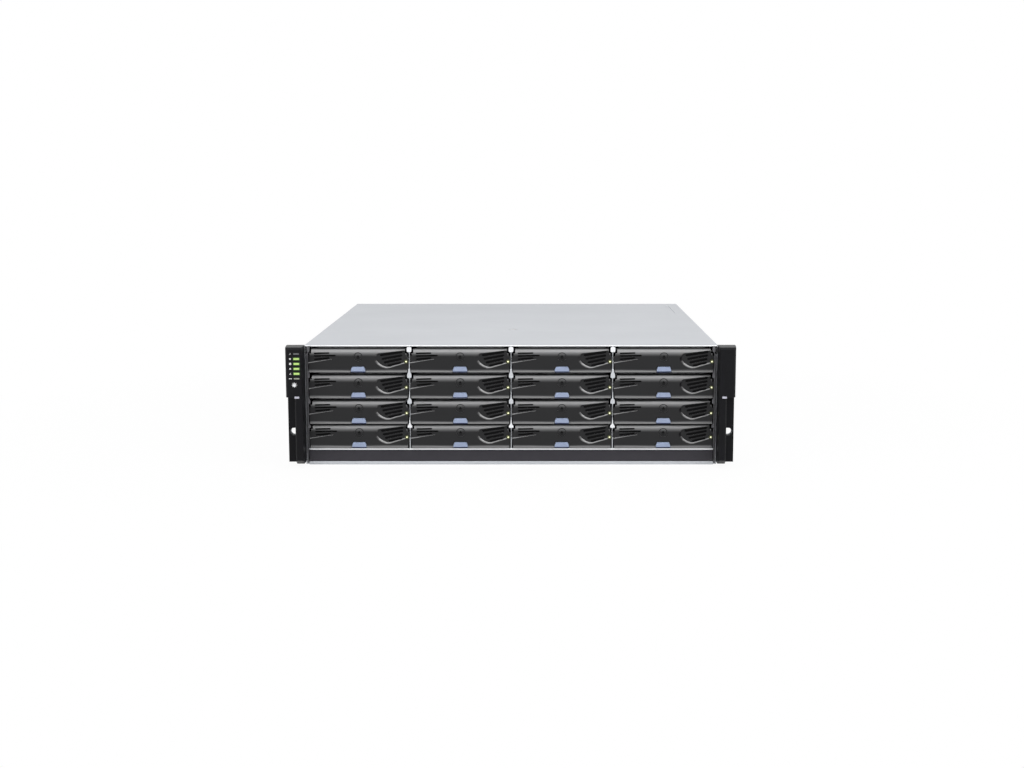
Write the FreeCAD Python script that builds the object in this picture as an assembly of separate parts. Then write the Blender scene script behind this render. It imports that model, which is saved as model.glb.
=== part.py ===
import FreeCAD, Part
import math
import os

# Three-unit rack disk shelf: sheet-metal chassis, four rows of four hot-swap drive trays,
# a midplane, two interface modules and two power and cooling modules.
# Millimetres. +X right as seen from the front, +Y to the rear, +Z up.
# While it is modelled, Y = 0 is the rear face of the rack flanges; place() then moves the
# whole shelf so that its origin is the centre of its bounding box at the bottom.

V = FreeCAD.Vector

# ---- driving dimensions -------------------------------------------------------------------
ROWS = 4
COLUMNS = 4

# disk drive, the standard 3.5 inch size
drive_width = 101.6
drive_height = 26.1
drive_length = 147.0
drive_step = 1.2            # the casting's front ledge, below the cover plate
drive_rim = 4.0             # depth of that ledge

# drive cage
divider_sheet = 1.0         # thickness of the upright divider plates
bezel_side_gap = 0.4        # from a bezel to the divider plate beside it
row_gap_wide = 2.7          # between the bezels of rows 1 and 2, and of rows 2 and 3
row_gap_narrow = 1.0        # between the bezels of rows 3 and 4
shelf_sheet = 1.8           # the cage floor
bay_floor_gap = 0.8         # from the cage floor to the lowest bezel
bay_top_gap = 2.0           # from the highest bezel to the cover
cage_side_gap = 2.2         # from the outer cage plates to the chassis walls
ledge_width = 1.6           # guide ledges pressed out of the dividers
ledge_height = 2.0
divider_front = -3.0        # front edge of the dividers

# hooks on the dividers' front edges, that the trays' flaps pull against
hook_width = 5.0
hook_drop = 3.6             # how far a hook reaches down past the bezel's top edge
hook_sheet = 1.2
hook_flare_width = 2.2
hook_flare_height = 12.0
hook_top_gap = 0.8          # from a hook's tab up to the next bezel, which swings past it

# tray carrier
carrier_sheet = 1.2
plate_edge = 1.2            # from the bezel's lower edge to the carrier's cross-bar
bar_edge = 3.0              # height of the cross-bar above the latch notch
rail_height = 20.0
rail_length = 138.0
rail_runner_width = 1.6
rail_runner_height = 2.0
runner_inset = 8.0
runner_gap = 0.3            # from a runner to the ledge under it
drive_front_gap = 3.0       # from the carrier's front plate to the drive
arm_half_height = 1.9       # the carrier's forked hinge arms
arm_tip_reach = 1.7         # how far an arm reaches past the pivot
pin_sides = 6               # the flap's moulded hinge pins are prisms
pin_radius = 1.1
pin_clearance = 0.1
pin_web = 2.0               # rib at each end of the flap, that carries the pin

# tray flap (the bezel)
bezel_overhang = 2.0        # the bezel is wider than the carrier by this much on each side
bezel_short = 0.7           # and lower than the drive
bezel_front = -5.0
barrel_radius = 4.6         # the rounded top edge, which is also the hinge barrel
flap_wall = 2.4
flap_top_wall = 1.8
flap_top_reach = 2.4        # how far the flap's top reaches behind the pivot
flap_floor = 1.6
lip_reach = 1.3             # how far the lower lip stands in front of the face
lip_edge = 1.2
lip_height = 3.4
notch_width = 3.7           # corner notches that clear the hooks
notch_depth = 4.8
notch_step_width = 1.9      # their deeper outer part, which clears the hooks when the flap swings
notch_step_depth = 7.8
corner_relief = 1.3         # the bezel narrows by this much at its lower corners
corner_relief_height = 12.0
flap_to_plate = 0.8

# vent slots and the recess in the bezel
slot_height = 1.1
left_vent_rows = [(6.6, 22.8, -5.8, -5.7), (6.5, 29.6, -8.7, -8.0), (6.9, 22.6, -12.3, -10.6)]
recess_depth = 1.4
recess_corners = [(33.2, 5.6), (4.7, 1.6), (1.7, 12.0), (1.7, 14.9), (20.6, 20.9), (24.3, 20.9),
                  (32.2, 16.6), (35.5, 11.9)]      # from the bezel's right edge, and below its top edge
recess_slot_height = 1.7
recess_slot_rows = [(30.6, 6.9, -7.6, -3.9), (28.6, 6.9, -11.9, -7.7), (26.0, 7.6, -15.9, -12.0),
                    (22.6, 8.2, -19.8, -16.0)]
crease_depth = 1.2
crease_run = 24.0           # the crease over the left vents, along the bezel
crease_low = 15.6           # its lower edge, below the bezel's top edge, at the bezel's end
crease_high = 9.8           # and where it runs out
lamp_size = 2.2             # square lens of the light pipe
lamp_proud = 0.2
lamp_from_edge = 2.3        # its centre, from the bezel's right edge
lamp_drop = 13.7            # its centre, below the bezel's top edge

# release button
button_width_top = 12.8
button_width_bottom = 15.4
button_height = 6.2
button_waist = 0.45         # share of its height where its sides begin to lean in
button_thickness = 3.2
button_proud = 0.6
button_gap = 0.3
stem_width = 8.0
stem_height = 2.6
stem_low = 1.6              # underside of the stem, above the bezel's lower edge
stem_gap = 1.4              # round the stem in the carrier's front plate
stem_reach = 0.4            # how far the stem stands in the carrier's front plate

# chassis
chassis_sheet = 1.2
chassis_depth = 500.0
front_lip_height = 3.6
sill_height = 12.6          # the dark strip below the trays
sill_sheet = 2.0
sill_side_gap = 0.2
sill_fold = 14.0            # how far its folded ends reach back
return_flange = 2.0
cover_skirt = 9.0
cover_seam_y = 146.0        # where the fixed front panel meets the lift-off cover
seam_gap = 0.4

# rack flanges and their covers
flange_sheet = 2.0
flange_reach = 17.8         # from the chassis wall to the flange's outer edge
flange_leg = 42.0           # the part of the bracket that lies along the wall
flange_low_inset = 2.0      # the flange ends this much inside its cover, below and above
flange_high_inset = 3.0
rack_hole_edge = 8.75       # from the slot's centre to the flange's outer edge
rack_hole_z = 37.3
rack_hole_radius = 3.6
rack_slot_length = 12.4
ear_depth = 26.0            # how far the covers stand in front of the flanges
ear_rise = 1.0              # the covers stand above the chassis
ear_bottom = 4.0
ear_plate_depth = 6.0       # the thin outer part, with the rack screw in it
ear_ridge_width = 8.0       # the carrying ridge, from the cover's inner side
ear_ridge_edge = 1.5
ear_foot_height = 5.0       # the ridge's lower end is cut off at a slant
ear_foot_depth = 9.0
ear_block_height = 53.6     # the upper block
ear_taper = 1.8
ear_plate_inset = 0.6
screw_relief = 8.0          # how far the slot's outline runs on into the ridge
screw_margin = 0.4
ear_edge = 2.0

# status lamps and the service button in the left cover
lamp_bar_width = 6.8
lamp_bar_height = 2.4
lamp_bar_pitch = 5.3
lamp_bar_count = 6
lamp_bar_drop = 6.8         # the highest bar's centre, below the cover's top
lamp_bar_inset = 4.1        # the bars' centre, from the chassis wall
lamp_bar_depth = 3.0
service_button_radius = 2.0
service_button_inset = 6.7
service_button_drop = 40.1
service_button_length = 6.0
service_button_proud = 0.6
service_button_gap = 0.2
service_button_travel = 1.0
catch_width = 5.0
catch_height = 2.2
catch_inset = 4.3
catch_depth = 1.2
catch_proud = 0.3

# midplane
midplane_sheet = 3.2
connector_width = 42.0
connector_height = 8.0
connector_depth = 8.0
mating_gap = 0.6            # from a seated drive to its connector
connector_low = 3.0         # above the bezel's lower edge
midplane_vent_width = 84.0
midplane_vent_height = 8.0
midplane_vent_gap = 3.0
board_edge_gap = 0.3
ledge_front_inset = 6.0     # the guide ledges end this much inside the bay
ledge_back_inset = 20.0

# rear modules
partition_sheet = 1.0
module_gap = 0.4            # from a module to its bay
module_clear = 12.0         # from the midplane to a seated module
psu_width = 102.4
module_sheet = 1.0
fan_radius = 38.0
fan_hub_radius = 17.0
fan_frame = 2.0             # from the fan's bore to the outside of its square frame
fan_depth = 25.0
fan_blades = 5
fan_facets = 24             # the fan's bore and hub are drawn as many-sided prisms
fan_blade_pitch = 35.0      # degrees
fan_blade_chord = 18.0
fan_blade_sheet = 1.4
fan_gap = 1.2
fan_from_floor = 3.0
guard_slots = 7
guard_bar = 2.0
inlet_width = 27.0
inlet_height = 20.0
inlet_depth = 18.0
inlet_wall = 1.6
inlet_pin_recess = 5.0
inlet_pin_pitch = 7.0
intake_edge = 26.0          # margin round the opening in the module's inner end
switch_width = 13.0
switch_height = 19.0
switch_depth = 12.0
switch_proud = 3.0
psu_strip_drop = 19.0       # centre line of inlet, switch and handle, below the module's top
psu_edge = 8.0              # from the module's side to the inlet
psu_step = 6.0              # between inlet, switch and handle
psu_handle_reach = 30.0
psu_handle_width = 14.0
psu_handle_bar = 5.0
psu_handle_corner = 6.0
port_width = 17.0
port_height = 10.0
port_wall = 0.8
port_depth = 24.0
port_count = 3
port_pitch = 24.0
port_shift = 30.0           # how far the ports lie to the left of the module's middle
port_proud = 0.6
io_vents = 3                # long slots in each row above the ports
io_vent_rows = 3
io_vent_height = 2.4
io_vent_step = 4.8
io_vent_edge = 12.0
io_vent_bar = 0.2           # share of the row that stays between the slots
lever_length = 62.0
lever_height = 9.0
lever_thickness = 3.0
lever_edge = 3.0
board_sheet = 1.6
board_lift = 7.0
board_inset = 6.0
plug_width = 120.0
plug_height = 12.0

# ---- values that follow from them ---------------------------------------------------------
bezel_width = drive_width + 2 * carrier_sheet + 2 * bezel_overhang
bezel_height = drive_height - bezel_short
column_pitch = bezel_width + 2 * bezel_side_gap + divider_sheet
cage_half = COLUMNS / 2 * column_pitch
inner_half = cage_half + divider_sheet / 2 + cage_side_gap
outer_half = inner_half + chassis_sheet

sill_bottom = front_lip_height
shelf_bottom = sill_bottom + sill_height
shelf_top = shelf_bottom + shelf_sheet

row_gaps_up = [row_gap_narrow] + [row_gap_wide] * (ROWS - 2)
bezel_bottoms_up = [shelf_top + bay_floor_gap]
for row_gap in row_gaps_up:
    bezel_bottoms_up.append(bezel_bottoms_up[-1] + bezel_height + row_gap)
bezel_bottoms = bezel_bottoms_up[::-1]          # row 1 is the highest
cover_underside = bezel_bottoms[0] + bezel_height + bay_top_gap
chassis_height = cover_underside + chassis_sheet
wall_top = cover_underside + chassis_sheet - cover_skirt

column_centres = [(c - (COLUMNS - 1) / 2) * column_pitch for c in range(COLUMNS)]

pivot_y = bezel_front + barrel_radius
pivot_z = bezel_height - barrel_radius
swing_radius = pivot_z + 0.55 * row_gap_narrow
flap_back = pivot_y + math.sqrt(swing_radius ** 2 - pivot_z ** 2)
plate_front = flap_back + flap_to_plate
drive_front = plate_front + carrier_sheet + drive_front_gap
drive_back = drive_front + drive_length
connector_front = drive_back + mating_gap
midplane_front = connector_front + connector_depth
midplane_back = midplane_front + midplane_sheet
drive_low = (bezel_height - drive_height) / 2
rail_outer = drive_width / 2 + carrier_sheet
runner_low = (bezel_height - rail_runner_height) / 2
notch_inner = bezel_width / 2 - notch_width

module_front = midplane_back + module_clear
partition_x = inner_half - psu_width - 2 * module_gap - partition_sheet / 2
io_width = 2 * (partition_x - partition_sheet / 2 - module_gap)
bay_low = chassis_sheet
bay_height = cover_underside - bay_low
psu_height = bay_height - 2 * module_gap
io_height = (bay_height - partition_sheet) / 2 - 2 * module_gap
flange_half = outer_half + flange_reach
rack_hole_spacing = 2 * (flange_half - rack_hole_edge)
ear_inner_x = inner_half
ear_back = -flange_sheet
ear_front = ear_back - ear_depth
ear_top = chassis_height + ear_rise
ear_block_bottom = ear_top - ear_block_height
lamp_bar_x = outer_half + lamp_bar_inset
lamp_bar_top = ear_top - lamp_bar_drop
service_button_x = outer_half + service_button_inset
service_button_z = ear_top - service_button_drop
catch_x = outer_half + catch_inset

front_reach = flange_sheet + ear_depth + service_button_proud
rear_reach = psu_handle_reach
centre_y = (chassis_depth + rear_reach - front_reach) / 2


# ---- small helpers ------------------------------------------------------------------------
def box(x0, x1, y0, y1, z0, z1):
    return Part.makeBox(x1 - x0, y1 - y0, z1 - z0, V(x0, y0, z0))


def rod_y(radius, x, z, y0, y1):
    return Part.makeCylinder(radius, y1 - y0, V(x, y0, z), V(0, 1, 0))


def plate_xz(points, y0, y1):
    """A flat outline in X and Z, extruded from y0 to y1."""
    wire = Part.makePolygon([V(x, y0, z) for x, z in points + points[:1]])
    return Part.Face(wire).extrude(V(0, y1 - y0, 0))


def plate_yz(points, x0, x1):
    """A flat outline in Y and Z, extruded from x0 to x1."""
    wire = Part.makePolygon([V(x0, y, z) for y, z in points + points[:1]])
    return Part.Face(wire).extrude(V(x1 - x0, 0, 0))


def prism_y(radius, sides, x, z, y0, y1):
    """A many-sided round form along Y."""
    turns = [2 * math.pi * i / sides for i in range(sides)]
    return plate_xz([(x + radius * math.cos(t), z + radius * math.sin(t)) for t in turns], y0, y1)


def slanted_slot(x0, z0, x1, z1, height, y0, y1):
    """A slot whose lower edge runs from (x0, z0) to (x1, z1)."""
    return plate_xz([(x0, z0), (x1, z1), (x1, z1 + height), (x0, z0 + height)], y0, y1)


def fuse(shapes):
    return shapes[0].multiFuse(shapes[1:]).removeSplitter()


def mirror_x(shape):
    return shape.mirror(V(0, 0, 0), V(1, 0, 0))


# ---- drive tray: carrier and disk drive ----------------------------------------------------
def pivot_prism(radius, x0, x1):
    """A prism along the flap's pivot, for a moulded pin or its hole."""
    corners = []
    for i in range(pin_sides):
        turn = 2 * math.pi * (i + 0.5) / pin_sides
        corners.append((pivot_y + radius * math.cos(turn), pivot_z + radius * math.sin(turn)))
    return plate_yz(corners, x0, x1)


def carrier_side():
    """Right-hand side of the carrier in one piece: rail, runner, and the forked arm that holds the flap."""
    inner = rail_outer - carrier_sheet
    low = (bezel_height - rail_height) / 2
    back = plate_front + rail_length
    tip = pivot_y - arm_tip_reach
    mouth = pin_radius + pin_clearance
    outline = [(plate_front, low), (back, low), (back, low + rail_height), (plate_front, low + rail_height),
               (plate_front, pivot_z + arm_half_height), (pivot_y, pivot_z + arm_half_height),
               (tip, pivot_z + mouth), (pivot_y + mouth, pivot_z + mouth),
               (pivot_y + mouth, pivot_z - mouth), (tip, pivot_z - mouth),
               (pivot_y, pivot_z - arm_half_height), (plate_front, pivot_z - arm_half_height)]
    side = plate_yz(outline, inner, rail_outer)
    runner = box(rail_outer, rail_outer + rail_runner_width, plate_front + runner_inset, back - runner_inset,
                 runner_low, runner_low + rail_runner_height)
    return side.fuse(runner)


def tray_carrier():
    """Two sides and the low cross-bar between them, with a notch for the latch."""
    inner = rail_outer - carrier_sheet
    latch_half = stem_width / 2 + stem_gap
    top = stem_low + stem_height + stem_gap
    outline = [(-inner, plate_edge), (-latch_half, plate_edge), (-latch_half, top), (latch_half, top),
               (latch_half, plate_edge), (inner, plate_edge), (inner, top + bar_edge),
               (-inner, top + bar_edge)]
    bar = plate_xz(outline, plate_front, plate_front + carrier_sheet)
    side = carrier_side()
    return fuse([bar, side, mirror_x(side)])


def disk_drive():
    """Cast base, with the cover plate a step below the rim at its front end."""
    half = drive_width / 2
    top = drive_low + drive_height
    outline = [(drive_front, drive_low), (drive_back, drive_low), (drive_back, top),
               (drive_front + drive_rim, top), (drive_front + drive_rim, top - drive_step),
               (drive_front, top - drive_step)]
    return plate_yz(outline, -half, half)


# ---- tray flap ------------------------------------------------------------------------------
def flap_profile():
    """Side outline of the flap: lower lip, flat face, and a rounded top edge that is round the pivot."""
    inner_y = bezel_front + flap_wall
    top_z = pivot_z + barrel_radius
    start = V(0, bezel_front, pivot_z)
    crest = V(0, pivot_y, top_z)
    shoulder = V(0, pivot_y - barrel_radius * math.sqrt(0.5), pivot_z + barrel_radius * math.sqrt(0.5))
    top_back = pivot_y + flap_top_reach
    points = [crest, V(0, top_back, top_z), V(0, top_back, top_z - flap_top_wall),
              V(0, inner_y, top_z - flap_top_wall), V(0, inner_y, flap_floor), V(0, flap_back, flap_floor),
              V(0, flap_back, 0), V(0, bezel_front - lip_reach, 0), V(0, bezel_front - lip_reach, lip_edge),
              V(0, bezel_front, lip_height), start]
    edges = [Part.makeLine(a, b) for a, b in zip(points, points[1:])]
    edges.append(Part.Arc(start, shoulder, crest).toShape())
    return Part.Wire(edges)


def bezel_outline_cut():
    """What the corner notches and the lower corner reliefs take away on the right-hand side."""
    half = bezel_width / 2
    y0, y1 = bezel_front - lip_reach - 1, pivot_y + barrel_radius + 2
    notch = box(notch_inner, half + 1, y0, y1, bezel_height - notch_depth, bezel_height + 1)
    step = box(half - notch_step_width, half + 1, y0, y1, bezel_height - notch_step_depth, bezel_height + 1)
    relief = plate_xz([(half + 1, -1), (half - corner_relief, -1), (half - corner_relief, 0),
                       (half, corner_relief_height), (half + 1, corner_relief_height)], y0, y1)
    return [notch.fuse(step), relief]


def left_vents():
    """Three slots that fan out from the bezel's left end."""
    y0, y1 = bezel_front - 1, pivot_y + barrel_radius + 1
    left = -bezel_width / 2
    return [slanted_slot(left + a, bezel_height + za, left + b, bezel_height + zb, slot_height, y0, y1)
            for a, b, za, zb in left_vent_rows]


def left_crease():
    """The shallow wedge over the left vents, deepest at the bezel's end, with a rising lower edge."""
    left = -bezel_width / 2
    run = crease_run
    wedge = Part.Face(Part.makePolygon([V(left - 1, bezel_front - 1, 0),
                                        V(left - 1, bezel_front + crease_depth, 0),
                                        V(left + run, bezel_front, 0),
                                        V(left + run, bezel_front - 1, 0),
                                        V(left - 1, bezel_front - 1, 0)])).extrude(V(0, 0, bezel_height + 1))
    keep = plate_xz([(left - 2, bezel_height - crease_low), (left + run + 1, bezel_height - crease_high),
                     (left + run + 1, bezel_height - barrel_radius),
                     (left - 2, bezel_height - barrel_radius)],
                    bezel_front - 3, bezel_front + 3)
    return wedge.common(keep)


def recess_outline():
    """The fan-shaped recess at the bezel's right end, as seen from the front."""
    return [(bezel_width / 2 - across, bezel_height - drop) for across, drop in recess_corners]


def right_recess():
    """The recess, and the four slots through its floor."""
    right = bezel_width / 2
    pocket = plate_xz(recess_outline(), bezel_front - 2, bezel_front + recess_depth)
    y0, y1 = bezel_front, pivot_y + barrel_radius + 1
    cuts = [pocket]
    for a, b, za, zb in recess_slot_rows:
        cuts.append(slanted_slot(right - a, bezel_height + za, right - b, bezel_height + zb,
                                 recess_slot_height, y0, y1))
    return cuts


def button_outline(margin):
    """Outline of the release button, widened all round by margin."""
    return [(-button_width_bottom / 2 - margin, -margin), (button_width_bottom / 2 + margin, -margin),
            (button_width_bottom / 2 + margin, button_height * button_waist),
            (button_width_top / 2 + margin, button_height + margin),
            (-button_width_top / 2 - margin, button_height + margin),
            (-button_width_bottom / 2 - margin, button_height * button_waist)]


def lamp_centre():
    return bezel_width / 2 - lamp_from_edge, bezel_height - lamp_drop


def flap_rib():
    """Rib at the flap's right-hand end: it ties front, floor and top together and carries the pin."""
    inner_y = bezel_front + flap_wall
    under = pivot_z + barrel_radius - flap_top_wall
    outline = [(inner_y, flap_floor), (flap_back, flap_floor), (pivot_y + flap_top_reach, under),
               (inner_y, under)]
    rib = plate_yz(outline, notch_inner - pin_web, notch_inner)
    return rib.fuse(pivot_prism(pin_radius, notch_inner - pin_web / 2, rail_outer))


def tray_flap():
    """The moulded flap and the lens of its light pipe, as two solids."""
    shell = Part.Face(flap_profile()).extrude(V(bezel_width, 0, 0))
    shell.translate(V(-bezel_width / 2, 0, 0))
    side_cuts = bezel_outline_cut()
    lamp_x, lamp_z = lamp_centre()
    lamp_half = lamp_size / 2
    cuts = side_cuts + [mirror_x(s) for s in side_cuts]
    cuts += left_vents() + [left_crease()] + right_recess()
    cuts.append(plate_xz(button_outline(button_gap), bezel_front - lip_reach - 1, flap_back + 1))
    shell = shell.cut(cuts[0].multiFuse(cuts[1:]))
    shell = fuse([shell, flap_rib(), mirror_x(flap_rib())])
    lamp = box(lamp_x - lamp_half, lamp_x + lamp_half, bezel_front - lamp_proud, bezel_front,
               lamp_z - lamp_half, lamp_z + lamp_half)
    return [shell, lamp]


def release_button():
    """The push button at the flap's lower edge, and the stem of its latch."""
    y0 = bezel_front - lip_reach - button_proud
    cap = plate_xz(button_outline(0), y0, y0 + button_thickness)
    stem = box(-stem_width / 2, stem_width / 2, y0, plate_front + stem_reach, stem_low,
               stem_low + stem_height)
    return fuse([cap, stem])


# ---- chassis --------------------------------------------------------------------------------
def chassis_pan():
    """Floor with its front lip, and the two side walls with the stiffeners at their front edges."""
    floor = box(-outer_half, outer_half, 0, chassis_depth, 0, chassis_sheet)
    lip_floor = box(-cage_half, cage_half, divider_front, 0, 0, chassis_sheet)
    lip = box(-cage_half, cage_half, divider_front, divider_front + chassis_sheet, chassis_sheet,
              front_lip_height)
    wall = box(inner_half, outer_half, 0, chassis_depth, chassis_sheet, wall_top)
    stiffener = box(inner_half - return_flange, inner_half, 0, chassis_sheet, chassis_sheet, wall_top)
    return [floor, lip_floor, lip, wall, mirror_x(wall), stiffener, mirror_x(stiffener)]


def rack_flange():
    """Right-hand rack flange with its slotted hole, and the leg that holds it to the chassis wall."""
    low, high = ear_bottom + flange_low_inset, ear_top - flange_high_inset
    plate = box(outer_half, flange_half, -flange_sheet, 0, low, high)
    leg = box(outer_half, outer_half + flange_sheet, 0, flange_leg, low, high)
    return [plate.cut(rack_slot(-flange_sheet - 1, 1, 0)), leg]


def rack_slot(y0, y1, margin):
    """The slotted rack hole on the right-hand side, widened by margin."""
    x = rack_hole_spacing / 2
    run = rack_slot_length / 2 - rack_hole_radius
    radius = rack_hole_radius + margin
    ends = [rod_y(radius, x + s * run, rack_hole_z, y0, y1) for s in (-1, 1)]
    return fuse(ends + [box(x - run, x + run, y0, y1, rack_hole_z - radius, rack_hole_z + radius)])


def rear_partitions():
    """Two upright plates and one level plate, which make the four module bays."""
    plates = []
    for x in (-partition_x, partition_x):
        plates.append(box(x - partition_sheet / 2, x + partition_sheet / 2, midplane_back, chassis_depth,
                          bay_low, cover_underside))
    mid_z = bay_low + io_height + 2 * module_gap
    reach = partition_x - partition_sheet / 2
    plates.append(box(-reach, reach, module_front, chassis_depth, mid_z, mid_z + partition_sheet))
    return plates


def top_cover():
    """Fixed front panel and lift-off rear cover, both with side skirts."""
    pieces = []
    for y0, y1 in ((0, cover_seam_y - seam_gap / 2), (cover_seam_y + seam_gap / 2, chassis_depth)):
        sheet = box(-outer_half, outer_half, y0, y1, cover_underside, chassis_height)
        skirt = box(inner_half, outer_half, y0, y1, wall_top, cover_underside)
        pieces.append(fuse([sheet, skirt, mirror_x(skirt)]))
    return pieces


def divider_plate(sides):
    """One upright plate of the drive cage, with guide ledges on the given sides and its front hooks."""
    half = divider_sheet / 2
    parts = [box(-half, half, divider_front, midplane_front, shelf_top, cover_underside)]
    for bottom in bezel_bottoms:
        ledge_top = bottom + runner_low - runner_gap
        for side in sides:
            x0, x1 = sorted((side * half, side * (half + ledge_width)))
            parts.append(box(x0, x1, plate_front + ledge_front_inset, midplane_front - ledge_back_inset,
                             ledge_top - ledge_height, ledge_top))
    for row, bottom in enumerate(bezel_bottoms):
        parts.append(hook(bottom + bezel_height, row))
    return fuse(parts)


def hook(row_top, row):
    """A front hook: it flares from the divider's edge between two bezels and ends in a wider tab."""
    above = bezel_bottoms[row - 1] - hook_top_gap if row else cover_underside
    tab, wide, half = hook_width / 2, hook_flare_width / 2, divider_sheet / 2
    low = row_top - hook_drop
    outline = [(tab, low), (tab, above), (-tab, above), (-tab, low)]
    if row:
        flare = above + hook_flare_height
        outline[2:2] = [(wide, above), (half, flare), (-half, flare), (-wide, above)]
    return plate_xz(outline, divider_front - hook_sheet, divider_front)


def drive_cage():
    """Cage floor, three dividers and two side plates."""
    floor = box(-cage_half, cage_half, divider_front, midplane_front, shelf_bottom, shelf_top)
    plates = [floor]
    for index in range(COLUMNS + 1):
        sides = [s for s, there in ((-1, index > 0), (1, index < COLUMNS)) if there]
        plate = divider_plate(sides)
        plate.translate(V((index - COLUMNS / 2) * column_pitch, 0, 0))
        plates.append(plate)
    return plates


def midplane():
    """Circuit board with an air opening above each drive connector."""
    board = box(-inner_half + board_edge_gap, inner_half - board_edge_gap, midplane_front, midplane_back,
                shelf_bottom, cover_underside)
    cuts, connectors = [], []
    for x in column_centres:
        wide, vent = connector_width / 2, midplane_vent_width / 2
        for bottom in bezel_bottoms:
            low = bottom + connector_low
            high = low + connector_height
            vent_low = high + midplane_vent_gap
            cuts.append(box(x - vent, x + vent, midplane_front - 1, midplane_back + 1, vent_low,
                            vent_low + midplane_vent_height))
            connectors.append(box(x - wide, x + wide, connector_front, midplane_front, low, high))
    return [board.cut(cuts[0].multiFuse(cuts[1:]))] + connectors


def front_sill():
    """The dark strip below the trays, with folded ends."""
    half = cage_half - sill_side_gap
    face = box(-half, half, divider_front, divider_front + sill_sheet, sill_bottom, shelf_bottom)
    end = box(half - sill_sheet, half, divider_front, divider_front + sill_fold, sill_bottom, shelf_bottom)
    return fuse([face, end, mirror_x(end)])


# ---- rack flange covers ---------------------------------------------------------------------
def top_view(points, z0, z1):
    """A flat outline in X and Y, extruded from z0 to z1."""
    wire = Part.makePolygon([V(x, y, z0) for x, y in points + points[:1]])
    return Part.Face(wire).extrude(V(0, 0, z1 - z0))


def ear_cover():
    """Right-hand cover: a tapered block above, and a thin plate with a carrying ridge below."""
    ridge_x = ear_inner_x + ear_ridge_width
    front_x = flange_half - ear_taper
    plate_front_y = ear_back - ear_plate_depth
    block = top_view([(ear_inner_x, ear_back), (flange_half, ear_back), (flange_half, plate_front_y),
                      (front_x, ear_front + ear_edge), (front_x - ear_edge, ear_front),
                      (ear_inner_x + 1, ear_front), (ear_inner_x, ear_front + 1)], ear_block_bottom, ear_top)
    bevel = plate_yz([(ear_front - 1, ear_top - ear_edge), (ear_front, ear_top - ear_edge),
                      (ear_front + ear_edge, ear_top), (ear_front + ear_edge, ear_top + 1),
                      (ear_front - 1, ear_top + 1)], ear_inner_x - 1, flange_half + 1)
    plate = box(ear_inner_x, flange_half - ear_plate_inset, plate_front_y, ear_back, ear_bottom,
                ear_block_bottom)
    ridge = top_view([(ear_inner_x, ear_back), (ridge_x, ear_back), (ridge_x, ear_front + ear_ridge_edge),
                      (ridge_x - ear_ridge_edge, ear_front), (ear_inner_x + ear_ridge_edge, ear_front),
                      (ear_inner_x, ear_front + ear_ridge_edge)], ear_bottom, ear_block_bottom)
    foot = plate_yz([(ear_front - 1, ear_bottom - 1), (ear_front + ear_foot_depth, ear_bottom - 1),
                     (ear_front + ear_foot_depth, ear_bottom), (ear_front, ear_bottom + ear_foot_height),
                     (ear_front - 1, ear_bottom + ear_foot_height)], ear_inner_x - 1, ridge_x + 1)
    cover = fuse([block.cut(bevel), plate, ridge.cut(foot)])
    return cover.cut(rack_slot(plate_front_y - screw_relief, ear_back + 1, screw_margin))


def cap_catch():
    """The pale catch between the block and the ridge."""
    half_width, half_height = catch_width / 2, catch_height / 2
    return box(catch_x - half_width, catch_x + half_width, ear_front - catch_proud, ear_front + catch_depth,
               ear_block_bottom - half_height, ear_block_bottom + half_height)


def status_lamps():
    """The column of lamp bars in the left cover."""
    bars = []
    for i in range(lamp_bar_count):
        z = lamp_bar_top - i * lamp_bar_pitch
        bars.append(box(-lamp_bar_x - lamp_bar_width / 2, -lamp_bar_x + lamp_bar_width / 2,
                        ear_front - lamp_proud, ear_front + lamp_bar_depth,
                        z - lamp_bar_height / 2, z + lamp_bar_height / 2))
    return bars


def right_ear():
    catch = cap_catch()
    return [ear_cover().cut(catch), catch]


def left_ear():
    catch = mirror_x(cap_catch())
    lamps = status_lamps()
    well = rod_y(service_button_radius + service_button_gap, -service_button_x, service_button_z,
                 ear_front - 1, ear_front + service_button_length + service_button_travel)
    cover = mirror_x(ear_cover()).cut(catch.multiFuse(lamps + [well]))
    return [cover, catch] + lamps


def service_button():
    front = ear_front - service_button_proud
    return rod_y(service_button_radius, -service_button_x, service_button_z, front,
                 front + service_button_length)


# ---- rear modules ---------------------------------------------------------------------------
def fan(x, z, y1):
    """One axial fan: a square frame with a strut, and a hub with pitched blades; its outlet is at y1."""
    side = fan_radius + fan_frame
    y0 = y1 - fan_depth
    bore = prism_y(fan_radius, fan_facets, x, z, y0 - 1, y1 + 1)
    frame = box(x - side, x + side, y0, y1, z - side, z + side).cut(bore)
    frame = frame.fuse(box(x - fan_radius - 1, x + fan_radius + 1, y0, y0 + 2, z - 3, z + 3))
    middle = V(x, (y0 + y1) / 2, z)
    rotor = prism_y(fan_hub_radius, fan_facets, x, z, y0 + 2, y1 - 2)
    blades = []
    for i in range(fan_blades):
        blade = box(x + fan_hub_radius - 1, x + fan_radius - fan_gap, middle.y - fan_blade_sheet / 2,
                    middle.y + fan_blade_sheet / 2, z - fan_blade_chord / 2, z + fan_blade_chord / 2)
        blade.rotate(middle, V(1, 0, 0), fan_blade_pitch)
        blade.rotate(middle, V(0, 1, 0), 360 / fan_blades * i)
        blades.append(blade)
    return [frame, rotor.multiFuse(blades)]


def fan_guard(x, z, y0, y1):
    """The slots between the guard bars in the rear plate, as wide as the round opening is at each."""
    pitch = 2 * fan_radius / guard_slots
    slots = []
    for i in range(guard_slots):
        middle = z - fan_radius + (i + 0.5) * pitch
        half = math.sqrt(fan_radius ** 2 - (abs(middle - z) + pitch / 4) ** 2)
        high = (pitch - guard_bar) / 2
        slots.append(box(x - half, x + half, y0, y1, middle - high, middle + high))
    return slots


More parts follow.
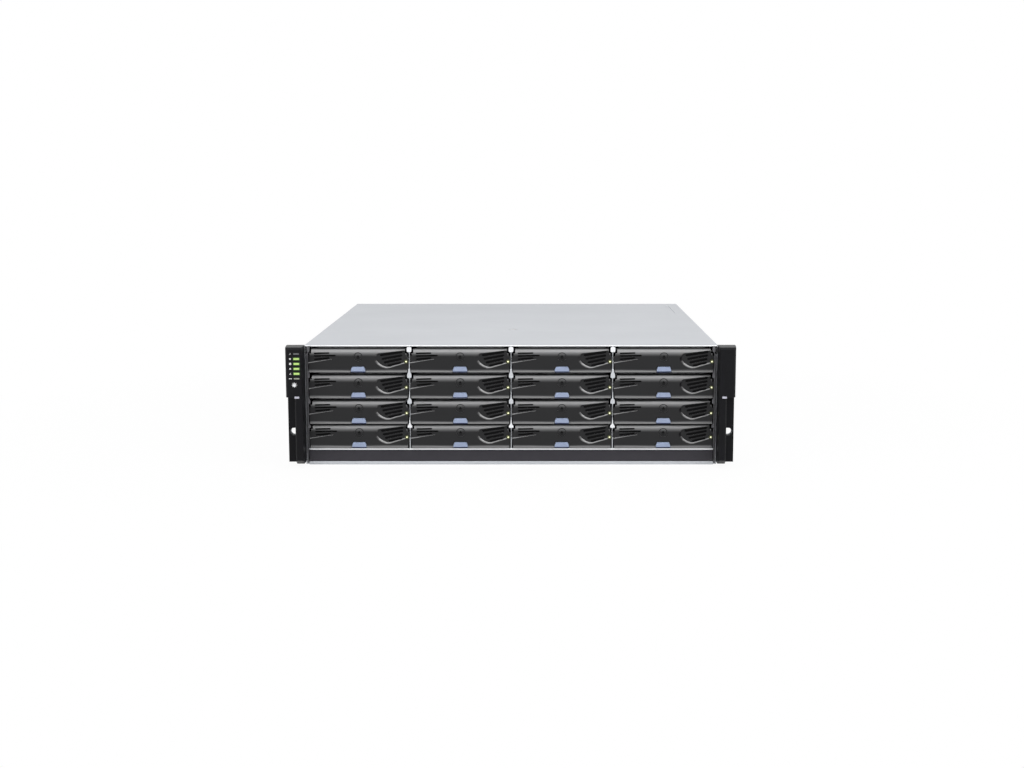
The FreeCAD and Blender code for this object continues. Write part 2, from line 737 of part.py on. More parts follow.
def power_inlet(x, z, y1):
    """Three-pin inlet: a socket sunk in the rear plate, with its blades."""
    wide, high = inlet_width / 2, inlet_height / 2
    y0 = y1 - inlet_depth
    socket = box(x - wide, x + wide, y0, y1 + 0.8, z - high, z + high)
    socket = socket.cut(box(x - wide + inlet_wall, x + wide - inlet_wall, y0 + inlet_wall, y1 + 1,
                            z - high + inlet_wall, z + high - inlet_wall))
    pins = [box(x + dx - 1, x + dx + 1, y0 + inlet_wall, y1 - inlet_pin_recess, z + dz - 2, z + dz + 2)
            for dx, dz in ((-inlet_pin_pitch, -2.0), (inlet_pin_pitch, -2.0), (0, 2.0))]
    return fuse([socket] + pins)


def power_switch(x, z, y1):
    """Rocker, pressed at its upper half."""
    high = switch_height / 2
    return plate_yz([(y1 - switch_depth, z - high), (y1 + switch_proud, z - high), (y1 + 0.6, z),
                     (y1 + 0.6, z + high), (y1 - switch_depth, z + high)],
                    x - switch_width / 2, x + switch_width / 2)


def pull_handle(x0, x1, z, y1):
    """A level loop for two fingers."""
    y2 = y1 + psu_handle_reach
    bar, corner = psu_handle_bar, psu_handle_corner
    outline = [(x0, y1), (x0, y2 - corner), (x0 + corner, y2), (x1 - corner, y2), (x1, y2 - corner),
               (x1, y1), (x1 - bar, y1), (x1 - bar, y2 - corner - bar / 2),
               (x1 - corner - bar / 2, y2 - bar), (x0 + corner + bar / 2, y2 - bar),
               (x0 + bar, y2 - corner - bar / 2), (x0 + bar, y1)]
    wire = Part.makePolygon([V(x, y, z - psu_handle_width / 2) for x, y in outline + outline[:1]])
    return Part.Face(wire).extrude(V(0, 0, psu_handle_width))


def module_case(x0, x1, z0, z1):
    """Floor and sides of a module's sheet-metal case, in front of its rear plate."""
    y0, y1 = module_front, chassis_depth - module_sheet
    floor = box(x0, x1, y0, y1, z0, z0 + module_sheet)
    sides = [box(x, x + module_sheet, y0, y1, z0 + module_sheet, z1) for x in (x0, x1 - module_sheet)]
    return [floor] + sides


def power_module(centre_x):
    """Power and cooling module: case, fan behind its guard, inlet, switch and pull handle."""
    x0, x1 = centre_x - psu_width / 2, centre_x + psu_width / 2
    y0, y1 = module_front, chassis_depth
    z0 = bay_low + module_gap
    z1 = z0 + psu_height
    lid = box(x0, x1, y0, y1 - module_sheet, z1 - module_sheet, z1)
    case = module_case(x0, x1, z0, z1 - module_sheet)
    intake = [box(x0 + module_sheet, x1 - module_sheet, y0, y0 + module_sheet, low, high)
              for low, high in ((z0 + module_sheet, z0 + intake_edge),
                                (z1 - intake_edge, z1 - module_sheet))]
    fan_z = z0 + fan_from_floor + fan_frame + fan_radius
    plate_inside = y1 - module_sheet
    strip_z = z1 - psu_strip_drop
    inlet_x = x0 + psu_edge + inlet_width / 2
    switch_x = inlet_x + inlet_width / 2 + psu_step + switch_width / 2
    cuts = fan_guard(centre_x, fan_z, plate_inside - 1, y1 + 1)
    for x, wide, high in ((inlet_x, inlet_width, inlet_height), (switch_x, switch_width, switch_height)):
        cuts.append(box(x - wide / 2, x + wide / 2, plate_inside - 1, y1 + 1,
                        strip_z - high / 2, strip_z + high / 2))
    rear = box(x0, x1, plate_inside, y1, z0, z1).cut(cuts[0].multiFuse(cuts[1:]))
    handle_x = switch_x + switch_width / 2 + psu_step
    return case + [lid, rear] + intake + fan(centre_x, fan_z, plate_inside) + [
        power_inlet(inlet_x, strip_z, y1), power_switch(switch_x, strip_z, y1),
        pull_handle(handle_x, x1 - psu_step, strip_z, y1)]


def io_module(z0):
    """Interface module: open-topped case with its board, ports and two ejector levers."""
    half = io_width / 2
    y0, y1 = module_front, chassis_depth
    z1 = z0 + io_height
    inside = y1 - module_sheet
    board_z = z0 + board_lift
    port_z = board_z + board_sheet
    wide = port_width / 2
    ports, cuts = [], []
    for i in range(port_count):
        x = (i - (port_count - 1) / 2) * port_pitch - port_shift
        cuts.append(box(x - wide, x + wide, inside - 1, y1 + 1, port_z, port_z + port_height))
        cage = box(x - wide, x + wide, y1 - port_depth, y1 + port_proud, port_z, port_z + port_height)
        ports.append(cage.cut(box(x - wide + port_wall, x + wide - port_wall, y1 - port_depth + 3, y1 + 2,
                                  port_z + port_wall, port_z + port_height - port_wall)))
    vent_pitch = (io_width - 2 * io_vent_edge) / io_vents
    vent_half = (1 - io_vent_bar) / 2 * vent_pitch
    for i in range(io_vents):
        x = -half + io_vent_edge + (i + 0.5) * vent_pitch
        for row in range(io_vent_rows):
            z = z0 + io_height / 2 + row * io_vent_step
            cuts.append(box(x - vent_half, x + vent_half, inside - 1, y1 + 1, z, z + io_vent_height))
    rear = box(-half, half, inside, y1, z0, z1).cut(cuts[0].multiFuse(cuts[1:]))
    board = box(-half + board_inset, half - board_inset, y0 + board_inset, inside - board_inset,
                board_z, board_z + board_sheet)
    studs = [box(x - 3, x + 3, y - 3, y + 3, z0 + module_sheet, board_z)
             for x in (-half + 2 * board_inset, half - 2 * board_inset)
             for y in (y0 + 3 * board_inset, y1 - 6 * board_inset)]
    plug = box(-plug_width / 2, plug_width / 2, midplane_back + mating_gap, y0 + 3 * board_inset, port_z,
               port_z + plug_height)
    lever = box(half - lever_edge - lever_length, half - lever_edge, y1, y1 + lever_thickness,
                z1 - lever_height - lever_edge, z1 - lever_edge)
    case = module_case(-half, half, z0, z1) + [rear]
    return case + studs + [board, plug] + ports + [lever, mirror_x(lever)]


# ---- assembly -------------------------------------------------------------------------------
def place(solids, x=0.0, z=0.0):
    """Puts a list of solids at its place in the shelf, with the origin at the shelf's bottom centre."""
    shape = Part.makeCompound(solids)
    shape.translate(V(x, -centre_y, z))
    return shape


def build():
    nodes = {}
    carrier = [tray_carrier(), disk_drive()]
    flap = tray_flap()
    button = [release_button()]
    for r, bottom in enumerate(bezel_bottoms):
        for c, x in enumerate(column_centres):
            bay = f"r{r + 1}c{c + 1}"
            nodes[f"drive_tray_{bay}"] = place([s.copy() for s in carrier], x, bottom)
            nodes[f"tray_flap_{bay}"] = place([s.copy() for s in flap], x, bottom)
            nodes[f"release_button_{bay}"] = place([s.copy() for s in button], x, bottom)
    flange = rack_flange()
    nodes["chassis_pan"] = place(chassis_pan() + flange + [mirror_x(s) for s in flange] + rear_partitions())
    nodes["top_cover"] = place(top_cover())
    nodes["drive_cage"] = place(drive_cage())
    nodes["midplane"] = place(midplane())
    nodes["front_sill"] = place([front_sill()])
    nodes["left_ear_cover"] = place(left_ear())
    nodes["right_ear_cover"] = place(right_ear())
    nodes["service_button"] = place([service_button()])
    lower = bay_low + module_gap
    upper = lower + io_height + 2 * module_gap + partition_sheet
    nodes["io_module_upper"] = place(io_module(upper))
    nodes["io_module_lower"] = place(io_module(lower))
    psu_x = inner_half - module_gap - psu_width / 2
    nodes["power_module_left"] = place(power_module(-psu_x))
    nodes["power_module_right"] = place(power_module(psu_x))
    return nodes


nodes = build()
os.makedirs("parts", exist_ok=True)
for name, shape in nodes.items():
    shape.exportStep(f"parts/{name}.step")
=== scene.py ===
# %% [markdown]
# # A rack disk shelf
# The object is a sheet-metal shelf that bolts between the posts of a 19 inch rack. Sixteen disk
# drives stand in it in four rows, each in a tray of its own behind a black hinged flap. Two dark
# covers hide the rack flanges, and the power and interface modules slide in from the rear.
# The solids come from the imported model. This script dresses them: it gives every part a finish,
# and it replaces those parts whose small edges and cuts decide how the shelf looks.

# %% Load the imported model
import math
import bmesh
import bpy
from mathutils import Matrix, Vector


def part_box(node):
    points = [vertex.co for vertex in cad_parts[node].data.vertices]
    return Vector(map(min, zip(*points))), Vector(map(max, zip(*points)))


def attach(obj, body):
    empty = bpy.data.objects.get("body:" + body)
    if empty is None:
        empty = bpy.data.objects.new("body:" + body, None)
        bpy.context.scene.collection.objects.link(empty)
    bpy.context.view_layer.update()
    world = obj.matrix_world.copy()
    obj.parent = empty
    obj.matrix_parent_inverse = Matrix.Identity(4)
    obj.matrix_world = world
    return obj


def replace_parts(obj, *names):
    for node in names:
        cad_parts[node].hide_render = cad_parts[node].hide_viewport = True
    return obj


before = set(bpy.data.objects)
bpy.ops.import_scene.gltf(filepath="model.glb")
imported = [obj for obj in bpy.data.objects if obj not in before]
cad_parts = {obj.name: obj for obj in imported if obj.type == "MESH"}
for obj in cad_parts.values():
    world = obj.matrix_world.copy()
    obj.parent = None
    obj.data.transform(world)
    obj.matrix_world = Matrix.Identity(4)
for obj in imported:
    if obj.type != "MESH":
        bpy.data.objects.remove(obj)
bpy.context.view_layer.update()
mm = 0.001

# %% [markdown]
# ## Where things are
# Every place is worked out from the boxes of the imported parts, so that the dressing follows the
# model. The front plane of the shelf is the front edge of its top cover.

# %% Read the main places from the parts
cover_low, cover_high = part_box("top_cover")
pan_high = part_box("chassis_pan")[1]
cage_low, cage_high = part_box("drive_cage")
front_y = cover_low.y
rear_y = cover_high.y
top_z = cover_high.z
bays = [(row, column) for row in range(1, 5) for column in range(1, 5)]


def bay_name(row, column):
    return f"r{row}c{column}"


def flap_box(row, column):
    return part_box(f"tray_flap_{bay_name(row, column)}")


flap_low, flap_high = flap_box(1, 1)
bezel_half = (flap_high.x - flap_low.x) / 2
bezel_height = flap_high.z - flap_low.z
lip_y = flap_low.y
print("flap", round(2 * bezel_half / mm, 1), "x", round(bezel_height / mm, 1), "mm, lip at", round(lip_y, 4))

# %% [markdown]
# ## Camera
# The shelf is seen from a little above, straight from the front, with a moderately long lens
# from about 1.6 metres. The lens keeps upright edges nearly upright, and the sideways step and
# the shift of the sensor together set the shelf's place across the picture.

# %% Set the camera
camera_data = bpy.data.cameras.new("camera")
camera_data.sensor_width = 36.0
camera_data.lens = 53.6
camera_data.shift_x = -0.02295
camera = bpy.data.objects.new("camera", camera_data)
bpy.context.scene.collection.objects.link(camera)
camera_distance = 1.63351
camera_height = 0.32236
camera_side = 0.02637
camera_tilt = math.radians(8.1626)
camera.location = (camera_side, front_y - camera_distance, camera_height)
camera.rotation_euler = (math.pi / 2 - camera_tilt, 0, 0)
bpy.context.scene.camera = camera
print("camera at", tuple(round(v, 3) for v in camera.location))

# %% [markdown]
# ## Room and light
# A white sweep is the usual ground for such a product. The floor is nearly white by itself and
# keeps a faint shadow, and the world looks white to the camera and to shiny surfaces, while the
# light that it gives to the object stays moderate. Four soft lamps do the rest: a large one high
# in front, a panel at each side, and one over the top for the cover and the rear.

# %% World, floor and lamps
world = bpy.data.worlds.new("studio")
bpy.context.scene.world = world
world.use_nodes = True
world.node_tree.nodes.clear()


def node_of(tree, kind, **values):
    """A new node with its settings and the values of its inputs."""
    node = tree.nodes.new(kind)
    for name, value in values.items():
        if hasattr(node, name):
            setattr(node, name, value)
        else:
            node.inputs[name.replace("_", " ")].default_value = value
    return node


def seen_directly(tree):
    """1 where a ray comes from the camera, a mirror or glass, else 0."""
    path = node_of(tree, "ShaderNodeLightPath")
    first = node_of(tree, "ShaderNodeMath", operation="MAXIMUM")
    second = node_of(tree, "ShaderNodeMath", operation="MAXIMUM")
    tree.links.new(path.outputs["Is Camera Ray"], first.inputs[0])
    tree.links.new(path.outputs["Is Glossy Ray"], first.inputs[1])
    tree.links.new(first.outputs[0], second.inputs[0])
    tree.links.new(path.outputs["Is Transmission Ray"], second.inputs[1])
    return second.outputs[0]


def make_world(ambient):
    """Lights the object with a moderate white, and shows a full white behind it."""
    tree = world.node_tree
    room = node_of(tree, "ShaderNodeBackground", Color=(1, 1, 1, 1), Strength=ambient)
    shown = node_of(tree, "ShaderNodeBackground", Color=(1, 1, 1, 1), Strength=1.0)
    choose = node_of(tree, "ShaderNodeMixShader")
    output = node_of(tree, "ShaderNodeOutputWorld")
    tree.links.new(seen_directly(tree), choose.inputs[0])
    tree.links.new(room.outputs[0], choose.inputs[1])
    tree.links.new(shown.outputs[0], choose.inputs[2])
    tree.links.new(choose.outputs[0], output.inputs[0])


def make_floor(depth, shade, reach):
    """White floor: shade is how much of the object's shadow it keeps, and reach is how far out."""
    mesh = bpy.data.meshes.new("floor")
    far = 6.0
    whole_until = reach * 0.5
    corners = [(-far, -far, depth), (far, -far, depth), (far, far, depth), (-far, far, depth)]
    mesh.from_pydata(corners, [], [(0, 1, 2, 3)])
    floor = bpy.data.objects.new("floor", mesh)
    bpy.context.scene.collection.objects.link(floor)
    finish = bpy.data.materials.new("white_floor")
    finish.use_nodes = True
    tree = finish.node_tree
    tree.nodes.clear()
    paint = node_of(tree, "ShaderNodeBsdfDiffuse", Color=(0.9, 0.9, 0.9, 1))
    glow = node_of(tree, "ShaderNodeEmission", Color=(1, 1, 1, 1), Strength=1.0)
    place = node_of(tree, "ShaderNodeTexCoord")
    away = node_of(tree, "ShaderNodeVectorMath", operation="LENGTH")
    fade = node_of(tree, "ShaderNodeMapRange")
    fade.inputs["From Min"].default_value = whole_until
    fade.inputs["From Max"].default_value = reach
    fade.inputs["To Min"].default_value = shade
    fade.inputs["To Max"].default_value = 0.0
    tree.links.new(place.outputs["Object"], away.inputs[0])
    tree.links.new(away.outputs["Value"], fade.inputs["Value"])
    pale = node_of(tree, "ShaderNodeMixShader")
    choose = node_of(tree, "ShaderNodeMixShader")
    output = node_of(tree, "ShaderNodeOutputMaterial")
    tree.links.new(fade.outputs["Result"], pale.inputs[0])
    tree.links.new(glow.outputs[0], pale.inputs[1])
    tree.links.new(paint.outputs[0], pale.inputs[2])
    tree.links.new(seen_directly(tree), choose.inputs[0])
    tree.links.new(paint.outputs[0], choose.inputs[1])
    tree.links.new(pale.outputs[0], choose.inputs[2])
    tree.links.new(choose.outputs[0], output.inputs[0])
    mesh.materials.append(finish)


def soft_lamp(name, place, target, width, depth, power):
    """A rectangular lamp that looks at the target: sizes in metres, power in watts."""
    data = bpy.data.lights.new(name, "AREA")
    data.shape = "RECTANGLE"
    data.size = width
    data.size_y = depth
    data.energy = power
    lamp = bpy.data.objects.new(name, data)
    bpy.context.scene.collection.objects.link(lamp)
    lamp.location = place
    lamp.rotation_euler = (Vector(target) - Vector(place)).to_track_quat("-Z", "Y").to_euler()


make_world(ambient=0.45)
make_floor(depth=-0.5 * mm, shade=0.06, reach=0.75)
soft_lamp("high_strip", (0, front_y - 1.1, 1.85), (0, front_y, 0.06), 2.8, 1.6, 29.0)
soft_lamp("left_panel", (-1.6, front_y - 1.3, 0.9), (0, front_y, 0.05), 0.9, 1.2, 4.0)
soft_lamp("right_panel", (1.45, front_y - 1.0, 1.45), (0, front_y, 0.05), 0.9, 0.9, 9.0)
soft_lamp("over_top", (0, 0.5, 2.2), (0, 0.1, 0), 2.2, 1.2, 6.0)
bpy.context.scene.view_settings.view_transform = "Standard"

# %% [markdown]
# ## Shaping tools
# A moulded or folded part is a flat outline given depth, with other outlines cut out of it and its
# sharp edges broken. The same few steps make most pieces here. Outlines are written in
# millimetres, which is how such parts are drawn, and a piece is brought to metres at the very end.

# %% Outlines
def rectangle(x0, x1, z0, z1):
    return [(x0, z0), (x1, z0), (x1, z1), (x0, z1)]


def rounded(points, radius, steps=4):
    """The outline with each corner replaced by a short curve, which takes no more than 0.45 of a side."""
    result = []
    count = len(points)
    for i in range(count):
        corner = Vector(points[i])
        before = Vector(points[i - 1]) - corner
        after = Vector(points[(i + 1) % count]) - corner
        reach = min(radius, before.length * 0.45, after.length * 0.45)
        start = corner + before.normalized() * reach
        end = corner + after.normalized() * reach
        for k in range(steps + 1):
            t = k / steps
            result.append(tuple(start * (1 - t) ** 2 + corner * 2 * t * (1 - t) + end * t ** 2))
    return result


def circle(x, z, radius, steps=32):
    turns = [2 * math.pi * k / steps for k in range(steps)]
    return [(x + radius * math.cos(t), z + radius * math.sin(t)) for t in turns]


def grown(points, distance):
    """The outline with every side moved outwards by the distance, for convex outlines."""
    count = len(points)
    area = sum(points[i - 1][0] * points[i][1] - points[i][0] * points[i - 1][1] for i in range(count))
    turn = 1 if area > 0 else -1
    result = []
    for i in range(count):
        here = Vector(points[i])
        one = (here - Vector(points[i - 1])).normalized()
        two = (Vector(points[(i + 1) % count]) - here).normalized()
        out_one = Vector((one.y, -one.x)) * turn
        out_two = Vector((two.y, -two.x)) * turn
        middle = (out_one + out_two).normalized()
        share = max(0.35, middle.dot(out_one))
        result.append(tuple(here + middle * distance / share))
    return result


print("rounded square has", len(rounded(rectangle(0, 10, 0, 10), 2)), "points")


# %% Solids from outlines
def new_object(name, mesh):
    thing = bpy.data.objects.new(name, mesh)
    bpy.context.scene.collection.objects.link(thing)
    return thing


def loft(name, first, second):
    """A closed solid between two loops of the same number of points."""
    count = len(first)
    corners = [tuple(p) for p in first] + [tuple(p) for p in second]
    faces = [tuple(range(count)), tuple(range(2 * count - 1, count - 1, -1))]
    faces += [(i, (i + 1) % count, (i + 1) % count + count, i + count) for i in range(count)]
    mesh = bpy.data.meshes.new(name)
    mesh.from_pydata(corners, [], faces)
    form = bmesh.new()
    form.from_mesh(mesh)
    bmesh.ops.recalc_face_normals(form, faces=form.faces)
    form.to_mesh(mesh)
    form.free()
    return new_object(name, mesh)


def facing_front(name, outline, y0, y1, back_outline=None):
    """A solid whose outline is seen from the front: (x, z) points."""
    back = back_outline or outline
    return loft(name, [(x, y0, z) for x, z in outline], [(x, y1, z) for x, z in back])


def facing_side(name, outline, x0, x1):
    """A solid whose outline is seen from the side: (y, z) points."""
    return loft(name, [(x0, y, z) for y, z in outline], [(x1, y, z) for y, z in outline])


def facing_up(name, outline, z0, z1):
    """A solid whose outline is seen from above: (x, y) points."""
    return loft(name, [(x, y, z0) for x, y in outline], [(x, y, z1) for x, y in outline])


def block(name, x0, x1, y0, y1, z0, z1):
    return facing_front(name, rectangle(x0, x1, z0, z1), y0, y1)


def made_plain(thing):
    """The object's mesh with its modifiers worked in, and the modifiers gone."""
    bpy.context.view_layer.update()
    graph = bpy.context.evaluated_depsgraph_get()
    mesh = bpy.data.meshes.new_from_object(thing.evaluated_get(graph))
    thing.modifiers.clear()
    thing.data = mesh
    return thing


def drop(*things):
    for thing in things:
        bpy.data.objects.remove(thing)


def combined(thing, others, operation):
    """Works the other solids into the thing, which uses them up."""
    for other in others:
        step = thing.modifiers.new("combine", "BOOLEAN")
        step.operation = operation
        step.solver = "EXACT"
        step.object = other
    made_plain(thing)
    drop(*others)
    return thing


def cut(thing, tools, inside=0):
    """Cuts the tools out. The new faces take the finish with the number inside."""
    for tool in tools:
        tool.data.polygons.foreach_set("material_index", [inside] * len(tool.data.polygons))
    return combined(thing, tools, "DIFFERENCE")


def add(thing, others):
    return combined(thing, others, "UNION")


def broken_edges(thing, width, segments=2, angle=32):
    """Small bevels on all sharp edges, which is what catches the light on a real part."""
    form = bmesh.new()
    form.from_mesh(thing.data)
    bmesh.ops.remove_doubles(form, verts=form.verts, dist=width * 0.02)
    bmesh.ops.dissolve_limit(form, angle_limit=math.radians(0.8), verts=form.verts, edges=form.edges)
    form.to_mesh(thing.data)
    form.free()
    step = thing.modifiers.new("edges", "BEVEL")
    step.width = width
    step.segments = segments
    step.limit_method = "ANGLE"
    step.angle_limit = math.radians(angle)
    step.miter_outer = "MITER_ARC"
    step.harden_normals = False
    return smooth(made_plain(thing))


def sliced(thing, heights):
    """Divides the forward faces at some heights, so that an attribute fades over them in even bands."""
    cells = bmesh.new()
    cells.from_mesh(thing.data)
    for height in heights:
        front = [face for face in cells.faces if face.normal.y < -0.98]
        edges = {edge for face in front for edge in face.edges}
        points = {point for face in front for point in face.verts}
        bmesh.ops.bisect_plane(cells, geom=[*front, *edges, *points], plane_co=(0, 0, height),
                               plane_no=(0, 0, 1))
    cells.to_mesh(thing.data)
    cells.free()
    return thing


def smooth(thing, angle=38):
    thing.data.polygons.foreach_set("use_smooth", [True] * len(thing.data.polygons))
    thing.data.set_sharp_from_angle(angle=math.radians(angle))
    return thing


def joined(name, things):
    """One mesh from several, each keeping its finishes."""
    form = bmesh.new()
    finishes = []
    for thing in things:
        shift = len(form.faces)
        form.from_mesh(thing.data)
        form.faces.ensure_lookup_table()
        places = []
        for finish in thing.data.materials:
            if finish not in finishes:
                finishes.append(finish)
            places.append(finishes.index(finish))
        for face in form.faces[shift:]:
            face.material_index = places[face.material_index] if places else 0
    mesh = bpy.data.meshes.new(name)
    form.to_mesh(mesh)
    form.free()
    for finish in finishes:
        mesh.materials.append(finish)
    drop(*things)
    return new_object(name, mesh)


def even_shading(thing):
    """Lets the large flat faces set the shading, so that small bevels don't smear over them."""
    step = thing.modifiers.new("shading", "WEIGHTED_NORMAL")
    step.mode = "FACE_AREA"
    step.weight = 80
    step.keep_sharp = True
    return made_plain(thing)


def placed(thing, name, x=0.0, y=0.0, z=0.0):
    """A copy in metres, with its place in its mesh."""
    mesh = thing.data.copy()
    mesh.transform(Matrix.Translation((x, y, z)) @ Matrix.Scale(mm, 4))
    copy = even_shading(new_object(name, mesh))
    copy.data.name = name
    return copy


def painted(thing, *finishes):
    """Gives the finishes. The first is the surface's own, and others serve inside cuts."""
    numbers = [face.material_index for face in thing.data.polygons]
    thing.data.materials.clear()
    for finish in finishes:
        thing.data.materials.append(finish)
    thing.data.polygons.foreach_set("material_index", numbers if len(finishes) > 1 else [0] * len(numbers))
    return thing


print("shaping tools ready")

# %% [markdown]
# ## Finishes
# The shelf has few materials: bright zinc-plated sheet, black moulded plastic with a fine spark
# texture, a pale blue plastic for the buttons, dark paint, and small things such as lenses,
# boards and connectors. None of them is one flat colour. A sheet shows the grain it was rolled
# with and cloudy zinc, and a moulding shows a fine texture. Some finishes carry painted light: a
# brighter and a darker copy of the zinc, a darker black and a dark blue for shaded faces, a glow
# round the lit lamps, and a painted highlight on the flaps' black.
# Each finish is mixed from noise in the object's own space, so that it does not slide on a
# moving tray, and all parts of one material share one mixing function.

# %% Mixing function for finishes
def finish_of(name, colour, other, metal=0.0, rough=(0.35, 0.45), cloud=40.0, grain=900.0, stretch=(1, 1, 1),
              bump=0.1, depth=0.00004, share=0.5, specular=0.5, coat=0.0):
    """A finish that drifts between two colours, with grain in its roughness and its surface."""
    finish = bpy.data.materials.new(name)
    finish.use_nodes = True
    tree = finish.node_tree
    shader = tree.nodes["Principled BSDF"]
    shader.inputs["Metallic"].default_value = metal
    shader.inputs["Specular IOR Level"].default_value = specular
    shader.inputs["Coat Weight"].default_value = coat
    place = node_of(tree, "ShaderNodeTexCoord")
    clouds = node_of(tree, "ShaderNodeTexNoise", Scale=cloud, Detail=4.0, Roughness=0.6)
    tree.links.new(place.outputs["Object"], clouds.inputs["Vector"])
    level = node_of(tree, "ShaderNodeMapRange")
    level.inputs["From Min"].default_value = 0.5 - share / 2
    level.inputs["From Max"].default_value = 0.5 + share / 2
    tree.links.new(clouds.outputs["Fac"], level.inputs["Value"])
    tint = node_of(tree, "ShaderNodeMix", data_type="RGBA")
    tint.inputs["A"].default_value = (*colour, 1)
    tint.inputs["B"].default_value = (*other, 1)
    tree.links.new(level.outputs["Result"], tint.inputs["Factor"])
    tree.links.new(tint.outputs["Result"], shader.inputs["Base Color"])
    turned = node_of(tree, "ShaderNodeMapping")
    turned.inputs["Scale"].default_value = stretch
    tree.links.new(place.outputs["Object"], turned.inputs["Vector"])
    fine = node_of(tree, "ShaderNodeTexNoise", Scale=grain, Detail=3.0, Roughness=0.55)
    tree.links.new(turned.outputs["Vector"], fine.inputs["Vector"])
    gloss = node_of(tree, "ShaderNodeMapRange")
    gloss.inputs["To Min"].default_value = rough[0]
    gloss.inputs["To Max"].default_value = rough[1]
    tree.links.new(fine.outputs["Fac"], gloss.inputs["Value"])
    tree.links.new(gloss.outputs["Result"], shader.inputs["Roughness"])
    relief = node_of(tree, "ShaderNodeBump", Strength=bump, Distance=depth)
    tree.links.new(fine.outputs["Fac"], relief.inputs["Height"])
    tree.links.new(relief.outputs["Normal"], shader.inputs["Normal"])
    return finish


def add_painted_highlight(finish, colour, gloss):
    """Painted highlight: where the piece's painted highlight attribute is 1, the surface is paler and
    smoother.
    """
    tree = finish.node_tree
    shader = tree.nodes["Principled BSDF"]
    painted_highlight = node_of(tree, "ShaderNodeAttribute", attribute_name="painted_highlight")
    tone = node_of(tree, "ShaderNodeMix", data_type="RGBA")
    tone.inputs["B"].default_value = (*colour, 1)
    smooth_share = node_of(tree, "ShaderNodeMix", data_type="FLOAT")
    smooth_share.inputs["B"].default_value = gloss
    for socket, mixer in (("Base Color", tone), ("Roughness", smooth_share)):
        tree.links.new(painted_highlight.outputs["Fac"], mixer.inputs["Factor"])
        tree.links.new(shader.inputs[socket].links[0].from_socket, mixer.inputs["A"])
        tree.links.new(mixer.outputs["Result"], shader.inputs[socket])
    return finish


def glowing(name, colour, light, strength):
    """A lit lens: the moulded colour, and light that is a little uneven over its length."""
    finish = finish_of(name, colour, tuple(v * 0.8 for v in colour), rough=(0.15, 0.25), bump=0.02)
    tree = finish.node_tree
    shader = tree.nodes["Principled BSDF"]
    shader.inputs["Emission Color"].default_value = (*light, 1)
    spot = node_of(tree, "ShaderNodeTexNoise", Scale=260.0, Detail=1.0)
    place = tree.nodes["Texture Coordinate"]
    tree.links.new(place.outputs["Object"], spot.inputs["Vector"])
    level = node_of(tree, "ShaderNodeMapRange")
    level.inputs["To Min"].default_value = strength * 0.75
    level.inputs["To Max"].default_value = strength * 1.2
    tree.links.new(spot.outputs["Fac"], level.inputs["Value"])
    tree.links.new(level.outputs["Result"], shader.inputs["Emission Strength"])
    return finish


# %% The shelf's finishes
# Painted highlight: a brighter copy of the zinc, for the front edges of sheets and the hooks of the first and
# last row.
zinc_painted_highlight = finish_of("zinc_painted_highlight", (0.93, 0.94, 0.96), (0.86, 0.87, 0.90), metal=0.6, rough=(0.25, 0.35),
                      cloud=60.0, grain=700.0, bump=0.04, depth=0.00002)
# Painted shade: a darker copy of the zinc, for the outermost dividers and the stiffeners at the front.
zinc_painted_shade = finish_of("zinc_painted_shade", (0.17, 0.17, 0.18), (0.12, 0.12, 0.13), metal=0.5, rough=(0.4, 0.5),
                      cloud=80.0, grain=900.0, bump=0.06, depth=0.00002, specular=0.3)
cover_zinc = finish_of("cover_zinc", (0.525, 0.541, 0.568), (0.48, 0.496, 0.523), metal=0.55,
                       rough=(0.46, 0.56), cloud=9.0, grain=420.0, stretch=(0.06, 1, 1), bump=0.06,
                       depth=0.00002, share=0.6)
chassis_zinc = finish_of("chassis_zinc", (0.60, 0.62, 0.65), (0.52, 0.54, 0.57), metal=0.6,
                         rough=(0.46, 0.58), cloud=14.0, grain=420.0, stretch=(1, 0.06, 1), bump=0.06,
                         depth=0.00002, share=0.6)
cage_zinc = finish_of("cage_zinc", (0.66, 0.68, 0.71), (0.58, 0.60, 0.63), metal=0.85, rough=(0.30, 0.42),
                      cloud=30.0, grain=500.0, stretch=(1, 0.08, 1), bump=0.06, depth=0.00002)
module_zinc = finish_of("module_zinc", (0.55, 0.56, 0.58), (0.47, 0.48, 0.50), metal=0.6, rough=(0.46, 0.58),
                        cloud=22.0, grain=420.0, stretch=(1, 1, 0.08), bump=0.06, depth=0.00002)
bezel_black = finish_of("bezel_black", (0.008, 0.008, 0.009), (0.006, 0.006, 0.007), rough=(0.27, 0.35),
                        cloud=35.0, grain=2600.0, bump=0.10, depth=0.00003, specular=0.32)
# Painted highlight: the flaps' black turns pale grey where the painted highlight attribute is set.
add_painted_highlight(bezel_black, (0.43, 0.43, 0.435), 0.26)
# Painted shade: a black darker and duller than the flaps' own, for the walls of the slots and the arrow and
# for the sheets behind the slots. The hinge pins and the carrier arms are black mouldings in it.
black_and_groove_shade = finish_of("black_and_groove_shade", (0.004, 0.004, 0.005), (0.003, 0.003, 0.003), rough=(0.6, 0.75),
                         cloud=35.0, grain=2600.0, bump=0.1, depth=0.00003, specular=0.1)
ear_black = finish_of("ear_black", (0.008, 0.008, 0.010), (0.006, 0.006, 0.007), rough=(0.34, 0.44),
                      cloud=30.0, grain=2400.0, bump=0.12, depth=0.00003, specular=0.11)
button_blue = finish_of("button_blue", (0.305, 0.365, 0.52), (0.275, 0.33, 0.47), rough=(0.32, 0.42),
                        cloud=120.0, grain=2200.0, bump=0.08, depth=0.00002)
